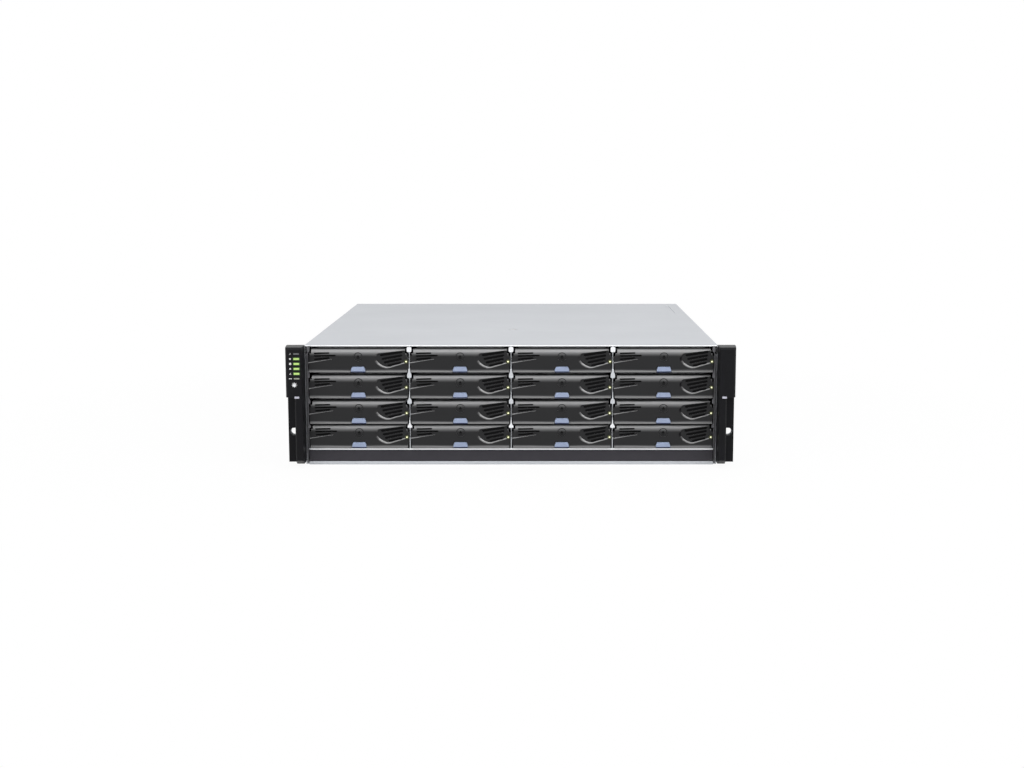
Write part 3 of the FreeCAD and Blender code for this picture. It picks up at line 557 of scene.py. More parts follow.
# Painted shade: a dark copy of the button's blue, for the faces of the button that look down.
button_painted_shade = finish_of("button_painted_shade", (0.03, 0.04, 0.11), (0.024, 0.033, 0.09), rough=(0.4, 0.5),
                         cloud=120.0, grain=2200.0, bump=0.08, depth=0.00002)
sill_paint = finish_of("sill_paint", (0.037, 0.035, 0.042), (0.031, 0.029, 0.036), rough=(0.34, 0.44),
                       cloud=18.0, grain=1500.0, bump=0.15, depth=0.00004, specular=0.25)
pale_moulding = finish_of("pale_moulding", (0.80, 0.81, 0.83), (0.72, 0.73, 0.76), rough=(0.35, 0.45),
                          cloud=120.0, grain=2200.0, bump=0.08, depth=0.00002)
pale_catch = finish_of("pale_catch", (0.52, 0.52, 0.60), (0.45, 0.45, 0.53), rough=(0.35, 0.45),
                       cloud=120.0, grain=2200.0, bump=0.08, depth=0.00002)
screw_steel = finish_of("screw_steel", (0.62, 0.62, 0.63), (0.50, 0.50, 0.51), metal=0.95, rough=(0.22, 0.36),
                        cloud=180.0, grain=1800.0, bump=0.08, depth=0.00002)
drive_casting = finish_of("drive_casting", (0.40, 0.41, 0.42), (0.34, 0.35, 0.36), metal=0.8,
                          rough=(0.42, 0.6), cloud=45.0, grain=1600.0, bump=0.25, depth=0.00005)
drive_lid = finish_of("drive_lid", (0.66, 0.67, 0.68), (0.58, 0.59, 0.60), metal=0.9, rough=(0.24, 0.34),
                      cloud=20.0, grain=600.0, stretch=(1, 0.05, 1), bump=0.05, depth=0.00002)
port_metal = finish_of("port_metal", (0.70, 0.68, 0.62), (0.60, 0.58, 0.53), metal=0.95, rough=(0.2, 0.32),
                       cloud=90.0, grain=900.0, bump=0.05, depth=0.00002)
fan_black = finish_of("fan_black", (0.020, 0.020, 0.021), (0.014, 0.014, 0.015), rough=(0.4, 0.55),
                      cloud=40.0, grain=1600.0, bump=0.1, depth=0.00003)
handle_black = finish_of("handle_black", (0.030, 0.030, 0.032), (0.024, 0.024, 0.026), rough=(0.36, 0.5),
                         cloud=60.0, grain=1500.0, bump=0.15, depth=0.00004)
board_green = finish_of("board_green", (0.02, 0.10, 0.045), (0.03, 0.14, 0.06), rough=(0.3, 0.45),
                        cloud=260.0, grain=700.0, bump=0.1, depth=0.00003)
lamp_green = glowing("lamp_green", (0.20, 0.30, 0.08), (0.50, 0.72, 0.20), 0.72)
lamp_pale = glowing("lamp_pale", (0.25, 0.27, 0.22), (0.60, 0.66, 0.45), 0.12)
mark_white = finish_of("mark_white", (0.70, 0.70, 0.70), (0.60, 0.60, 0.60), rough=(0.5, 0.6),
                       cloud=400.0, grain=1500.0, bump=0.03, depth=0.00001)
# Painted light: a faint glow on the cover round each lit lamp bar.
painted_lamp_glow = glowing("painted_lamp_glow", (0.02, 0.06, 0.01), (0.10, 0.35, 0.03), 0.10)
lamp_off = finish_of("lamp_off", (0.155, 0.16, 0.165), (0.125, 0.13, 0.135), rough=(0.2, 0.3),
                     cloud=120.0, grain=900.0, bump=0.03, depth=0.00002)
lens_amber = glowing("lens_amber", (0.60, 0.62, 0.35), (0.95, 0.95, 0.62), 1.0)
lens_collar = finish_of("lens_collar", (0.055, 0.062, 0.014), (0.042, 0.048, 0.010), rough=(0.3, 0.4),
                        cloud=120.0, grain=1800.0, bump=0.05, depth=0.00002)
print("finishes:", len([m for m in bpy.data.materials if m.use_nodes]))

# %% [markdown]
# ## The hinged flap
# Each tray ends in a black moulded flap, which is handle, hinge and grille in one. Its top edge is
# rounded about the hinge, its lower edge has a small lip, and a fan of slots is sunk in at the
# right like the marks of fingers. It could be modelled by hand, but its shape is a constant side
# profile with things cut out of it, so it is made that way once, and copied to all sixteen bays.

# %% Sizes of a flap, in millimetres
half = bezel_half / mm
tall = bezel_height / mm
lip = (lip_y - front_y) / mm
lip_reach = 1.3
face = lip + lip_reach
back = (flap_high.y - front_y) / mm
barrel = 4.6
pivot = (face + barrel, tall - barrel)
front_wall, roof_wall, floor_wall = 2.4, 1.8, 1.6
inner = face + front_wall
roof_back, roof_under = pivot[0] + 2.4, tall - roof_wall
crease_end = -half + 26
print("flap: half width", round(half, 1), "height", round(tall, 1), "face", round(face, 1))


# %% Side profile and shell
def barrel_arc(steps=10):
    turns = [math.pi - math.pi / 2 * k / steps for k in range(steps + 1)]
    return [(pivot[0] + barrel * math.cos(t), pivot[1] + barrel * math.sin(t)) for t in turns]


flap_side = [(back, 0), (lip, 0), (lip, 0.3), (lip + 0.8, 1.7), (face, 3.4)] + barrel_arc()
flap_side += [(roof_back, tall), (roof_back, roof_under), (inner, roof_under), (inner, floor_wall)]
flap_side += [(back, floor_wall)]
flap = painted(facing_side("flap", flap_side, -half, half), bezel_black, black_and_groove_shade)
print("profile points:", len(flap_side))


# %% Corners that clear the hooks
notch_width, notch_drop = 3.7, 4.8
step_width, step_drop = 1.9, 7.8
relief_width, relief_top = 1.3, 12.0


def corner_cuts(side):
    """Notch, deeper step and lower relief at one end of the flap. The cutters pass it by different bits."""
    y0, y1 = lip - 1, back + 1
    x0, x1 = sorted((side * (half - notch_width), side * (half + 1)))
    notch = block("notch", x0, x1, y0, y1, tall - notch_drop, tall + 1)
    x0, x1 = sorted((side * (half - step_width), side * (half + 1.2)))
    step = block("step", x0, x1, y0 - 0.1, y1 + 0.1, tall - step_drop, tall + 1.2)
    foot, out = half - relief_width, half + 1.4
    edge = [(out, -1), (foot, -1), (foot, 0), (half, relief_top), (out, relief_top)]
    relief = facing_front("relief", [(side * x, z) for x, z in edge], y0 - 0.2, y1 + 0.2)
    return [notch, step, relief]


cut(flap, corner_cuts(-1) + corner_cuts(1))
print("faces after the corners:", len(flap.data.polygons))


# %% [markdown]
# ### Slots, crease and recess
# A slot is a bar with round ends along a slanting line. The recess has drafted sides, as a
# moulding tool needs, so its outline at the face is larger than at its floor. Those sloping sides
# are what shines at its lower left edge.

# %% Slots and recess
def bar_outline(x0, z0, x1, z1, height, steps=5):
    """A straight bar with round ends between two points."""
    along = Vector((x1 - x0, z1 - z0)).normalized()
    start = math.atan2(along.y, along.x)
    ends = []
    for (x, z), turn in (((x0, z0), math.pi / 2), ((x1, z1), -math.pi / 2)):
        for k in range(steps + 1):
            t = start + turn + math.pi * k / steps
            ends.append((x + height / 2 * math.cos(t), z + height / 2 * math.sin(t)))
    return ends


def slot_cutters(slots, y0):
    """Cutters for slots given by their two ends, as x and drop below the top, and their width."""
    return [facing_front("slot", bar_outline(x0, tall - drop0, x1, tall - drop1, width), y0, inner + 1)
            for x0, drop0, x1, drop1, width in slots]


def crease_outline(outer_drop, inner_drop, upper_drop):
    """The shallow wedge pressed in at the left, deeper towards the flap's end."""
    outside = -half - 1
    return [(outside, tall - outer_drop), (crease_end, tall - inner_drop), (crease_end, tall - upper_drop),
            (outside, tall - upper_drop)]


left_slots = [(-46.9, 4.7, -31.6, 4.4, 1.6), (-47.0, 7.8, -24.8, 7.1, 1.7), (-46.6, 11.4, -31.8, 9.9, 1.8)]
recess_slots = [(24.6, 7.0, 46.6, 3.6, 2.5), (26.4, 11.0, 46.4, 7.3, 2.5),
                (28.8, 14.8, 45.8, 11.2, 2.5), (32.4, 18.2, 45.2, 15.2, 2.3)]
recess_corners = [(20.0, 5.1), (49.3, 1.6), (52.2, 12.2), (52.2, 15.0), (33.0, 21.0), (28.8, 21.2),
                  (24.4, 19.6), (20.2, 16.8), (17.2, 13.0), (16.8, 10.0)]
recess_depth = 1.4
recess_rim = rounded([(x, tall - below) for x, below in recess_corners], 1.2, 3)
recess_floor = [(x + 1.5, z + 0.8) for x, z in grown(recess_rim, -0.7)]
recess = facing_front("recess", grown(recess_rim, 0.4), face - 0.4, face + recess_depth, recess_floor)
crease = loft("crease", [(x, face - 0.25, z) for x, z in crease_outline(16.2, 11.4, 5.7)],
              [(x, face + (1.3 if x < -half else 0.4), z) for x, z in crease_outline(14.8, 11.0, 5.8)])
cut(flap, [crease, recess])
# Painted shade: the walls of these slots, and of the arrow and screw slot below, take the darker black.
cut(flap, slot_cutters(left_slots, face - 1), inside=1)
cut(flap, slot_cutters(recess_slots, face + 0.6), inside=1)
print("faces after the slots:", len(flap.data.polygons))


# %% [markdown]
# ### Lock and button opening
# The round lock in the middle is turned with a small tool. It is a disc in a ring-shaped groove,
# with an arrow sunk into it. The opening for the release button follows the button's outline.

# %% Lock, button opening and lamp hole
lock_z = tall - 8.5
lock_radius, groove_width, groove_depth = 4.8, 1.0, 0.9
lock_ring = facing_front("ring", circle(0, lock_z, lock_radius, 36), face - 1, face + groove_depth)
lock_core = facing_front("core", circle(0, lock_z, lock_radius - groove_width, 36), face - 2, face + 2)
cut(lock_ring, [lock_core])
arrow = rounded([(0, lock_z + 2.2), (1.9, lock_z - 0.9), (-1.9, lock_z - 0.9)], 0.3, 2)
arrow_cut = facing_front("arrow", arrow, face - 1, face + 0.5)
driver_slot = block("driver_slot", -1.5, 1.5, face - 1, face + 0.8, lock_z - 2.2, lock_z - 1.5)
button_half, button_top = 7.7, 6.2
shoulder_half, shoulder_z = button_half - 1.3, 2.8
button_edge = [(-button_half, -0.01), (button_half, -0.01), (button_half, shoulder_z),
               (shoulder_half, button_top), (-shoulder_half, button_top), (-button_half, shoulder_z)]
button_gap = 0.3
button_hole = rounded(grown(button_edge, button_gap), 0.8, 3)
below_flap = [(x, z if z > 0.1 else z - 1) for x, z in button_hole]
button_cut = facing_front("button_cut", below_flap, lip - 1, back + 1)
lamp_x, lamp_z = half - 2.3, tall - 13.7
lamp_hole = facing_front("lamp_hole", circle(lamp_x, lamp_z, 2.1, 20), face - 1, face + 0.9)
cut(flap, [arrow_cut, driver_slot], inside=1)
cut(flap, [lock_ring, button_cut, lamp_hole])
broken_edges(flap, 0.24, angle=20)
sliced(flap, [tall - drop for drop in (8.4, 7.4, 6.4, 5.5, barrel)])
painted(flap, bezel_black, black_and_groove_shade)
print("flap faces:", len(flap.data.polygons))


# %% Ribs, hinge pins, light pipe
def end_rib(side):
    """The rib inside one end of the flap, and the hinge pin that stands on it."""
    outline = [(inner, floor_wall), (back, floor_wall), (roof_back, roof_under), (inner, roof_under)]
    x0, x1 = sorted((side * (half - 5.7), side * (half - 3.75)))
    rib = painted(broken_edges(facing_side("rib", outline, x0, x1), 0.2), bezel_black)
    x0, x1 = sorted((side * (half - 4.5), side * (half - 2.0)))
    pin = facing_side("pin", circle(*pivot, 1.1, 16), x0, x1)
    return [rib, painted(broken_edges(pin, 0.15), black_and_groove_shade)]


def slot_screen(x0, x1, z0, z1):
    """A thin dark sheet behind the slots, which is painted shade: the slots look as dark as a shaded bay."""
    sheet = block("slot_screen", x0, x1, inner + 0.05, inner + 0.35, z0, z1)
    return painted(broken_edges(sheet, 0.08), black_and_groove_shade)


shade_sheets = [slot_screen(-48.4, -22.8, tall - 13.8, tall - 3.4),
           slot_screen(20.0, 48.6, tall - 20.6, tall - 1.9)]
collar = facing_front("collar", circle(lamp_x, lamp_z, 2.2, 20), face + 0.85, face - 0.02)
collar = painted(broken_edges(collar, 0.15), lens_collar)
lens = facing_front("lens", circle(lamp_x, lamp_z, 0.85, 16), face + 0.3, face - 0.2)
lens = painted(broken_edges(lens, 0.18), lens_amber)
flap = joined("flap", [flap] + end_rib(-1) + end_rib(1) + shade_sheets + [collar, lens])
print("flap with its ribs and light pipe:", len(flap.data.polygons), "faces")


# %% [markdown]
# ### Painted highlight
# A painted highlight makes the top of a flap, the slopes of its recess and crease, and its lip
# paler and smoother, standing in for the shine of the lamps on them. How much is written on the
# points of the mesh, and the finish reads it from there.

# %% Painted highlight on the flaps
top_highlight_end = 8.3
lip_highlight, lip_highlight_top = 0.36, 2.2


def skin_depth(height):
    """The y of the flap's front skin at a height, round the barrel too."""
    above = max(0.0, min(height - pivot[1], barrel))
    return pivot[0] - math.sqrt(barrel ** 2 - above ** 2)


def top_highlight_share(point):
    """How much painted highlight the top of the flap gets: most just below its edge, then less and less."""
    below = tall - point.z
    skin = skin_depth(point.z) + (1.5 if point.x < crease_end else 0.3)
    if point.y > skin or point.y >= pivot[0]:
        return 0.0
    return 0.68 * min(below / 1.6, 1.0) * max(0.0, min((top_highlight_end - below) / 5.4, 1.0)) ** 1.5


def slope_highlight_share(point, normal, low, high):
    """How much painted highlight a slope gets: fully where it leans up between the two angles, less on the
    lip.
    """
    on_barrel = point.z > tall - 5.0
    on_face = point.z > 3.5 and point.y < face + 0.02
    if on_barrel or on_face or normal.y >= -0.35 or point.y >= inner:
        return 0.0
    lean = math.degrees(math.asin(max(-1.0, min(1.0, normal.z))))
    inside = max(0.0, min((lean - low) / 8, (high - lean) / 12, 1.0))
    return inside * (lip_highlight if point.z < lip_highlight_top else 1.0)


def mark_painted_highlight(thing, low, high):
    """Writes the painted highlight attribute, which the black of the flaps turns into a paler and smoother
    surface.
    """
    mesh = thing.data
    painted_highlight = mesh.attributes.new("painted_highlight", "FLOAT", "POINT")
    for point in mesh.vertices:
        slope_highlight = slope_highlight_share(point.co, point.normal, low, high)
        painted_highlight.data[point.index].value = max(slope_highlight, top_highlight_share(point.co))
    return thing


mark_painted_highlight(flap, 14, 62)
print("painted highlight points:", sum(value.value > 0 for value in flap.data.attributes["painted_highlight"].data))

# %% [markdown]
# ### Release button
# The pale button at the lower edge frees the latch. Its front is flat with soft edges, and its
# lowest part slopes back, so that a fingertip finds it from below.

# %% Release button
button_front = lip - 0.6
cap_depth, slope_depth, slope_top = 3.2, 1.5, 1.35
cap = facing_front("cap", rounded(button_edge, 0.9, 3), button_front, button_front + cap_depth)
slope_end = button_front + slope_depth
slope = [(button_front - 1, -1), (slope_end, -1), (slope_end, 0.0), (button_front, slope_top),
         (button_front - 1, slope_top)]
cut(cap, [facing_side("under", slope, -9, 9)])
broken_edges(cap, 0.35, segments=3)
cap.data.materials.append(button_blue)
cap.data.materials.append(button_painted_shade)
# Painted shade: the faces of the lower slope that look down take the dark blue.
for side in cap.data.polygons:
    if side.center.z < 1.2 and side.normal.z < -0.3:
        side.material_index = 1
stem = painted(broken_edges(block("stem", -4, 4, button_front + 1.6, 5.6, 1.6, 4.2), 0.2), button_blue)
button = joined("button", [cap, stem])
print("button faces:", len(button.data.polygons))

# %% One flap and one button for each bay
for row, column in bays:
    name = bay_name(row, column)
    low, high = flap_box(row, column)
    place = {"x": (low.x + high.x) / 2, "y": front_y, "z": low.z}
    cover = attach(placed(flap, f"flap_moulding_{name}", **place), f"flap_{name}")
    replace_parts(cover, f"tray_flap_{name}")
    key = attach(placed(button, f"button_{name}", **place), f"latch_{name}")
    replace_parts(key, f"release_button_{name}")
drop(flap, button)
print("bays dressed:", len(bays))

# %% [markdown]
# ## Drive cage
# Behind the flaps stands a cage of thin upright plates. The front edge of each plate ends in hooks
# that sit in the notches of the flaps, and pressed ledges on its sides carry the trays. The
# plates are thin bars with a few tabs, so each is joined from small outlines. The hooks have round
# corners, because they are stamped. Those of the first and last row get the brighter zinc, a
# painted highlight, and the outermost plates with their hooks get the darker zinc, painted shade.

# %% Cage of five dividers and a floor
def row_bottom(row):
    return flap_box(row, 1)[0].z / mm


def column_middle(column):
    low, high = flap_box(1, column)
    return (low.x + high.x) / 2 / mm


cage_back = (cage_high.y - front_y) / mm
floor_thick = 1.8
floor_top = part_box("midplane")[0].z / mm + floor_thick
cover_under = cage_high.z / mm
pitch = column_middle(2) - column_middle(1)
hook_depth = 1.2
edge_y = (cage_low.y - front_y) / mm + hook_depth
plate_half = 0.5
ledge_drop, ledge_width, ledge_front = 11.4, 1.6, 11.2
middle_rows = (2, 3)


def hook(row, left, right):
    """A hook's outline. The top row has a plain tab, and the others flare up and run into the plate."""
    low = row_bottom(row) + tall - 3.6
    if row == 1:
        return rounded([(right, low), (right, cover_under), (left, cover_under), (left, low)], 1.7)
    high = row_bottom(row - 1) - 0.8
    widest = 1.5 if row == 2 else 0.8
    neck, tip = min(right, widest), max(left, -widest)
    outline = [(right, low), (right, high - 1.6), (neck, high + 0.6), (neck * 0.6, high + 5),
               (tip * 0.6, high + 5), (tip, high + 0.6), (left, high - 1.6), (left, low)]
    return rounded(outline, 1.0 if row in middle_rows else 1.7)


# Painted light: outermost hooks get the darker zinc as painted shade, those of the first and last row the
# brighter zinc as painted highlight.
def hook_finish(row, outermost):
    if outermost:
        return zinc_painted_shade
    return cage_zinc if row in middle_rows else zinc_painted_highlight


def plate_relief(row):
    """Sets the front edge of an inner plate back, from beside a flap's middle to just below its notch."""
    start = 7.0 if row in middle_rows else 11.5
    return block("relief", -1, 1, edge_y - 1, edge_y + 4, row_bottom(row) + start, row_bottom(row) + tall - 5)


def divider(x, sides):
    """An upright plate with a hook for each row, and ledges on the sides that face a column."""
    plate = block("plate", -plate_half, plate_half, edge_y, cage_back, floor_top, cover_under)
    outermost = len(sides) == 1
    if not outermost:
        cut(plate, [plate_relief(row) for row in range(1, 5)])
    # The outermost plates get the darker zinc, painted shade.
    parts = [painted(broken_edges(plate, 0.15), zinc_painted_shade if outermost else cage_zinc)]
    for row in range(1, 5):
        width = 2.4 if row in middle_rows else 2.6
        inward = [width if side in sides else 0.6 for side in (-1, 1)]
        tab = facing_front("hook", hook(row, -inward[0], inward[1]), edge_y - hook_depth, edge_y)
        parts.append(painted(broken_edges(tab, 0.25), hook_finish(row, outermost)))
        ledge = row_bottom(row) + ledge_drop
        for side in sides:
            x0, x1 = sorted((side * plate_half, side * (plate_half + ledge_width)))
            rail = block("ledge", x0, x1, ledge_front, cage_back - 20, ledge - 2, ledge)
            parts.append(painted(broken_edges(rail, 0.3), cage_zinc))
    plate = joined("divider", parts)
    plate.data.transform(Matrix.Translation((x, 0, 0)))
    return plate


def painted_edge_highlight(sheet, y):
    """Gives the faces at the front edge of a sheet the brighter zinc, a painted highlight along that edge."""
    sheet.data.materials.append(zinc_painted_highlight)
    for side in sheet.data.polygons:
        if side.center.y < y + 0.6 and side.normal.y < -0.2:
            side.material_index = 1
    return sheet


def cage_floor():
    side_room = 2.5
    sheet = block("floor_sheet", cage_low.x / mm + side_room, cage_high.x / mm - side_room, edge_y,
                  cage_back, floor_top - floor_thick, floor_top)
    # The front edge of the floor gets the brighter zinc, a painted highlight.
    return painted_edge_highlight(painted(broken_edges(sheet, 0.3), cage_zinc), edge_y)


cage_parts = [cage_floor()]
for index in range(5):
    facing = [side for side, column in ((-1, index), (1, index + 1)) if 1 <= column <= 4]
    cage_parts.append(divider((index - 2) * pitch, facing))
cage = joined("cage", cage_parts)
cage_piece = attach(placed(cage, "cage_plates", y=front_y), "shelf")
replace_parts(cage_piece, "drive_cage")
drop(cage)
print("cage faces:", len(cage_piece.data.polygons))

# %% [markdown]
# ## Repeating small parts with Geometry Nodes
# Screws, rays and bars come in rows and rings. A node tree that sets one shape on every point of a
# line or a circle makes them all from a few numbers, and the result becomes a plain mesh.

# %% Node trees for rows and rings
def repeat_tree(name, kind):
    """Sets an object on the points of a line or a circle, then gives it a finish."""
    tree = bpy.data.node_groups.new(name, "GeometryNodeTree")
    face_side = tree.interface
    face_side.new_socket("Geometry", in_out="OUTPUT", socket_type="NodeSocketGeometry")
    wanted = [("Count", "NodeSocketInt"), ("Piece", "NodeSocketObject"), ("Finish", "NodeSocketMaterial"),
              ("Start", "NodeSocketVector"), ("Step", "NodeSocketVector"), ("Radius", "NodeSocketFloat")]
    for label, socket in wanted:
        face_side.new_socket(label, in_out="INPUT", socket_type=socket)
    group = tree.nodes.new("NodeGroupInput")
    result = tree.nodes.new("NodeGroupOutput")
    info = tree.nodes.new("GeometryNodeObjectInfo")
    put = tree.nodes.new("GeometryNodeInstanceOnPoints")
    real = tree.nodes.new("GeometryNodeRealizeInstances")
    coat = tree.nodes.new("GeometryNodeSetMaterial")
    link = tree.links.new
    if kind == "row":
        line = tree.nodes.new("GeometryNodeMeshLine")
        link(group.outputs["Count"], line.inputs["Count"])
        link(group.outputs["Start"], line.inputs["Start Location"])
        link(group.outputs["Step"], line.inputs["Offset"])
        points = line.outputs["Mesh"]
    else:
        ring = tree.nodes.new("GeometryNodeMeshCircle")
        link(group.outputs["Count"], ring.inputs["Vertices"])
        link(group.outputs["Radius"], ring.inputs["Radius"])
        stand = tree.nodes.new("GeometryNodeTransform")
        stand.inputs["Rotation"].default_value = (math.pi / 2, 0, 0)
        link(ring.outputs["Mesh"], stand.inputs["Geometry"])
        move = tree.nodes.new("GeometryNodeTransform")
        link(stand.outputs["Geometry"], move.inputs["Geometry"])
        link(group.outputs["Start"], move.inputs["Translation"])
        place = tree.nodes.new("GeometryNodeInputPosition")
        away = tree.nodes.new("ShaderNodeVectorMath")
        away.operation = "SUBTRACT"
        link(place.outputs["Position"], away.inputs[0])
        link(group.outputs["Start"], away.inputs[1])
        turn = tree.nodes.new("FunctionNodeAlignRotationToVector")
        turn.axis = "Z"
        turn.pivot_axis = "Y"
        link(away.outputs["Vector"], turn.inputs["Vector"])
        link(turn.outputs["Rotation"], put.inputs["Rotation"])
        points = move.outputs["Geometry"]
    link(points, put.inputs["Points"])
    link(group.outputs["Piece"], info.inputs["Object"])
    link(info.outputs["Geometry"], put.inputs["Instance"])
    link(put.outputs["Instances"], real.inputs["Geometry"])
    link(real.outputs["Geometry"], coat.inputs["Geometry"])
    link(group.outputs["Finish"], coat.inputs["Material"])
    link(coat.outputs["Geometry"], result.inputs["Geometry"])
    return tree


row_tree = repeat_tree("row_of_pieces", "row")
ring_tree = repeat_tree("ring_of_pieces", "ring")


def repeated(name, tree, piece, finish, count, start=(0, 0, 0), step=(0, 0, 0), radius=1.0):
    """A plain mesh of the piece, set out by the tree."""
    holder = new_object(name, bpy.data.meshes.new(name))
    nodes = holder.modifiers.new("set_out", "NODES")
    nodes.node_group = tree
    given = {"Count": count, "Piece": piece, "Finish": finish, "Start": start, "Step": step, "Radius": radius}
    for item in tree.interface.items_tree:
        if item.in_out == "INPUT":
            nodes[item.identifier] = given[item.name]
    made_plain(holder)
    if not holder.data.materials:
        holder.data.materials.append(finish)
    return holder


print("node trees:", row_tree.name, ring_tree.name)

# %% [markdown]
# ## Screw head
# One pan-head screw with a cross recess serves everywhere. It is a low dome, cut by a cross.

# %% Pan-head screw, pointing up
def screw_head(radius, height, cross=True):
    """A low dome that stands on the plane z = 0, with or without its cross recess."""
    rings = [(radius, 0.0), (radius, height * 0.35), (radius * 0.86, height * 0.8), (radius * 0.55, height)]
    count = 20
    corners, faces = [], []
    for ring_radius, z in rings:
        corners += [(x, y, z) for x, y in circle(0, 0, ring_radius, count)]
    for level in range(len(rings) - 1):
        for k in range(count):
            a, b = level * count + k, level * count + (k + 1) % count
            faces.append((a, b, b + count, a + count))
    faces.append(tuple(range(count - 1, -1, -1)))
    faces.append(tuple(range((len(rings) - 1) * count, len(rings) * count)))
    mesh = bpy.data.meshes.new("screw")
    mesh.from_pydata(corners, [], faces)
    head = new_object("screw", mesh)
    if cross:
        arm, wide = radius * 0.5, radius * 0.12
        cut(head, [block("cross", -arm, arm, -wide, wide, height * 0.45, height * 2),
                   block("cross", -wide, wide, -arm, arm, height * 0.45, height * 2)])
    return painted(smooth(head), screw_steel)


screw = screw_head(3.0, 1.6)
small_screw = screw_head(1.5, 0.7)
print("screw faces:", len(screw.data.polygons))

# %% [markdown]
# ## Drive tray
# A tray is a bent metal carrier with a runner on each side, and the disk drive is screwed into it.
# It is hidden until it is drawn out, but then its top and sides are in full view. The drive gets
# a cast body, a smooth lid with screws and a round boss, and a board on its underside.

# %% Carrier
tray_low, tray_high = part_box("drive_tray_r1c1")
plate_y = back + 0.8
sheet_thick, runner_width = 1.2, 1.6
drive_y0, drive_y1 = plate_y + 4.2, (tray_high.y - front_y) / mm
drive_z0, drive_z1 = (tray_low.z - flap_low.z) / mm, (tray_high.z - flap_low.z) / mm
runner_x = (tray_high.x - tray_low.x) / 2 / mm
rail_x = runner_x - runner_width
arm_z, arm_half, arm_mouth = pivot[1], 1.9, 1.2
print("rail outside", round(rail_x, 2), "drive from", round(drive_y0, 2), "to", round(drive_y1, 2))


def carrier_side(side):
    """Steel rail with its runner, and the dark forked arm that holds the flap's hinge pin."""
    rail_low, rail_high, rail_back = (tall - 20) / 2, (tall + 20) / 2, plate_y + 138
    slot_z, slot_length = tall / 2 + 5, 22
    x0, x1 = sorted((side * (rail_x - sheet_thick), side * rail_x))
    web = block("web", x0, x1, plate_y, rail_back, rail_low, rail_high)
    slots = [facing_side("slot", bar_outline(y, slot_z, y + slot_length, slot_z, 4.0), x0 - 1, x1 + 1)
             for y in (24, 62, 100)]
    cut(web, slots)
    root, tip, deepest = plate_y - 0.01, pivot[0] - 1.7, pivot[0] + arm_mouth
    fork = [(root, arm_z + arm_half), (pivot[0], arm_z + arm_half), (tip, arm_z + arm_mouth),
            (deepest, arm_z + arm_mouth), (deepest, arm_z - arm_mouth), (tip, arm_z - arm_mouth),
            (pivot[0], arm_z - arm_half), (root, arm_z - arm_half)]
    arm = painted(broken_edges(facing_side("arm", fork, x0, x1), 0.15), black_and_groove_shade)
    x0, x1 = sorted((side * rail_x, side * (rail_x + runner_width)))
    runner = block("runner", x0, x1, plate_y + 8, rail_back - 8, tall / 2 - 1, tall / 2 + 1)
    return [painted(broken_edges(web, 0.15), cage_zinc), painted(broken_edges(runner, 0.4), cage_zinc), arm]


def cross_bar():
    """The carrier's front sheet, with a gap in the middle for the stem of the release button."""
    end_x, bar_low, bar_high = rail_x - sheet_thick, 1.2, 8.6
    gap_half, gap_top = 5.4, 5.6
    outline = [(-end_x, bar_low), (-gap_half, bar_low), (-gap_half, gap_top), (gap_half, gap_top),
               (gap_half, bar_low), (end_x, bar_low), (end_x, bar_high), (-end_x, bar_high)]
    bar = broken_edges(facing_front("cross_bar", outline, plate_y, plate_y + sheet_thick), 0.15)
    return [painted(bar, cage_zinc)]


carrier = joined("carrier", carrier_side(-1) + carrier_side(1) + cross_bar())
print("carrier faces:", len(carrier.data.polygons))


# %% Disk drive
drive_half, foot_width, foot_height, lid_drop = 50.8, 6.8, 1.6, 0.5
spindle_y, spindle_radius = drive_y0 + 62, 16


def drive_lids():
    """The flat lid and its raised middle, with a ring pressed round the spindle."""
    lid_edge = rounded(rectangle(-49.6, 49.6, drive_y0 + 4, drive_y1 - 1), 5)
    lid = facing_up("lid", lid_edge, drive_z1 - 1.2, drive_z1 - lid_drop)
    raised_edge = rounded(rectangle(-43, 43, drive_y0 + 11, drive_y1 - 10), 14)
    raised = facing_up("raised", raised_edge, drive_z1 - lid_drop, drive_z1)
    ring = facing_up("ring", circle(0, spindle_y, spindle_radius, 40), drive_z1 - 0.25, drive_z1 + 1)
    core = facing_up("core", circle(0, spindle_y, spindle_radius - 1.4, 40), drive_z1 - 1, drive_z1 + 2)
    cut(raised, [cut(ring, [core])])
    return [painted(broken_edges(part, 0.2), drive_lid) for part in (lid, raised)]


def disk_drive():
    foot_top = drive_z0 + foot_height
    castings = [block("body", -drive_half, drive_half, drive_y0, drive_y1, foot_top, drive_z1 - 1.2)]
    castings += [block("foot", x, x + foot_width, drive_y0, drive_y1, drive_z0, foot_top)
                 for x in (-drive_half, drive_half - foot_width)]
    parts = [painted(broken_edges(part, 0.4), drive_casting) for part in castings] + drive_lids()
    board = block("board", -43.5, 43.5, drive_y0 + 30, drive_y1 - 2, drive_z0 + 0.2, foot_top)
    parts.append(painted(broken_edges(board, 0.15), board_green))
    for side in (-1, 1):
        start = (side * 46.6, drive_y0 + 9, drive_z1 - lid_drop)
        parts.append(repeated("lid_screws", row_tree, small_screw, screw_steel, 4, start, (0, 42.5, 0)))
    return joined("drive", parts)


drive = joined("tray", [carrier, disk_drive()])
for row, column in bays:
    name = bay_name(row, column)
    low, high = flap_box(row, column)
    piece = placed(drive, f"tray_and_drive_{name}", (low.x + high.x) / 2, front_y, low.z)
    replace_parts(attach(piece, f"tray_{name}"), f"drive_tray_{name}")
print("tray faces:", len(drive.data.polygons))
drop(drive)

# %% [markdown]
# ## Covers of the rack flanges
# A dark moulded cover hides each rack flange. Its upper half is a solid-looking block, and below it
# a narrow ridge serves as a carrying grip beside a thin plate with the slot for the rack screw.
# Seen from above the block and the ridge are simple outlines, so they are extruded upwards and
# joined. The corners are then bevelled more than elsewhere, as hands go here.

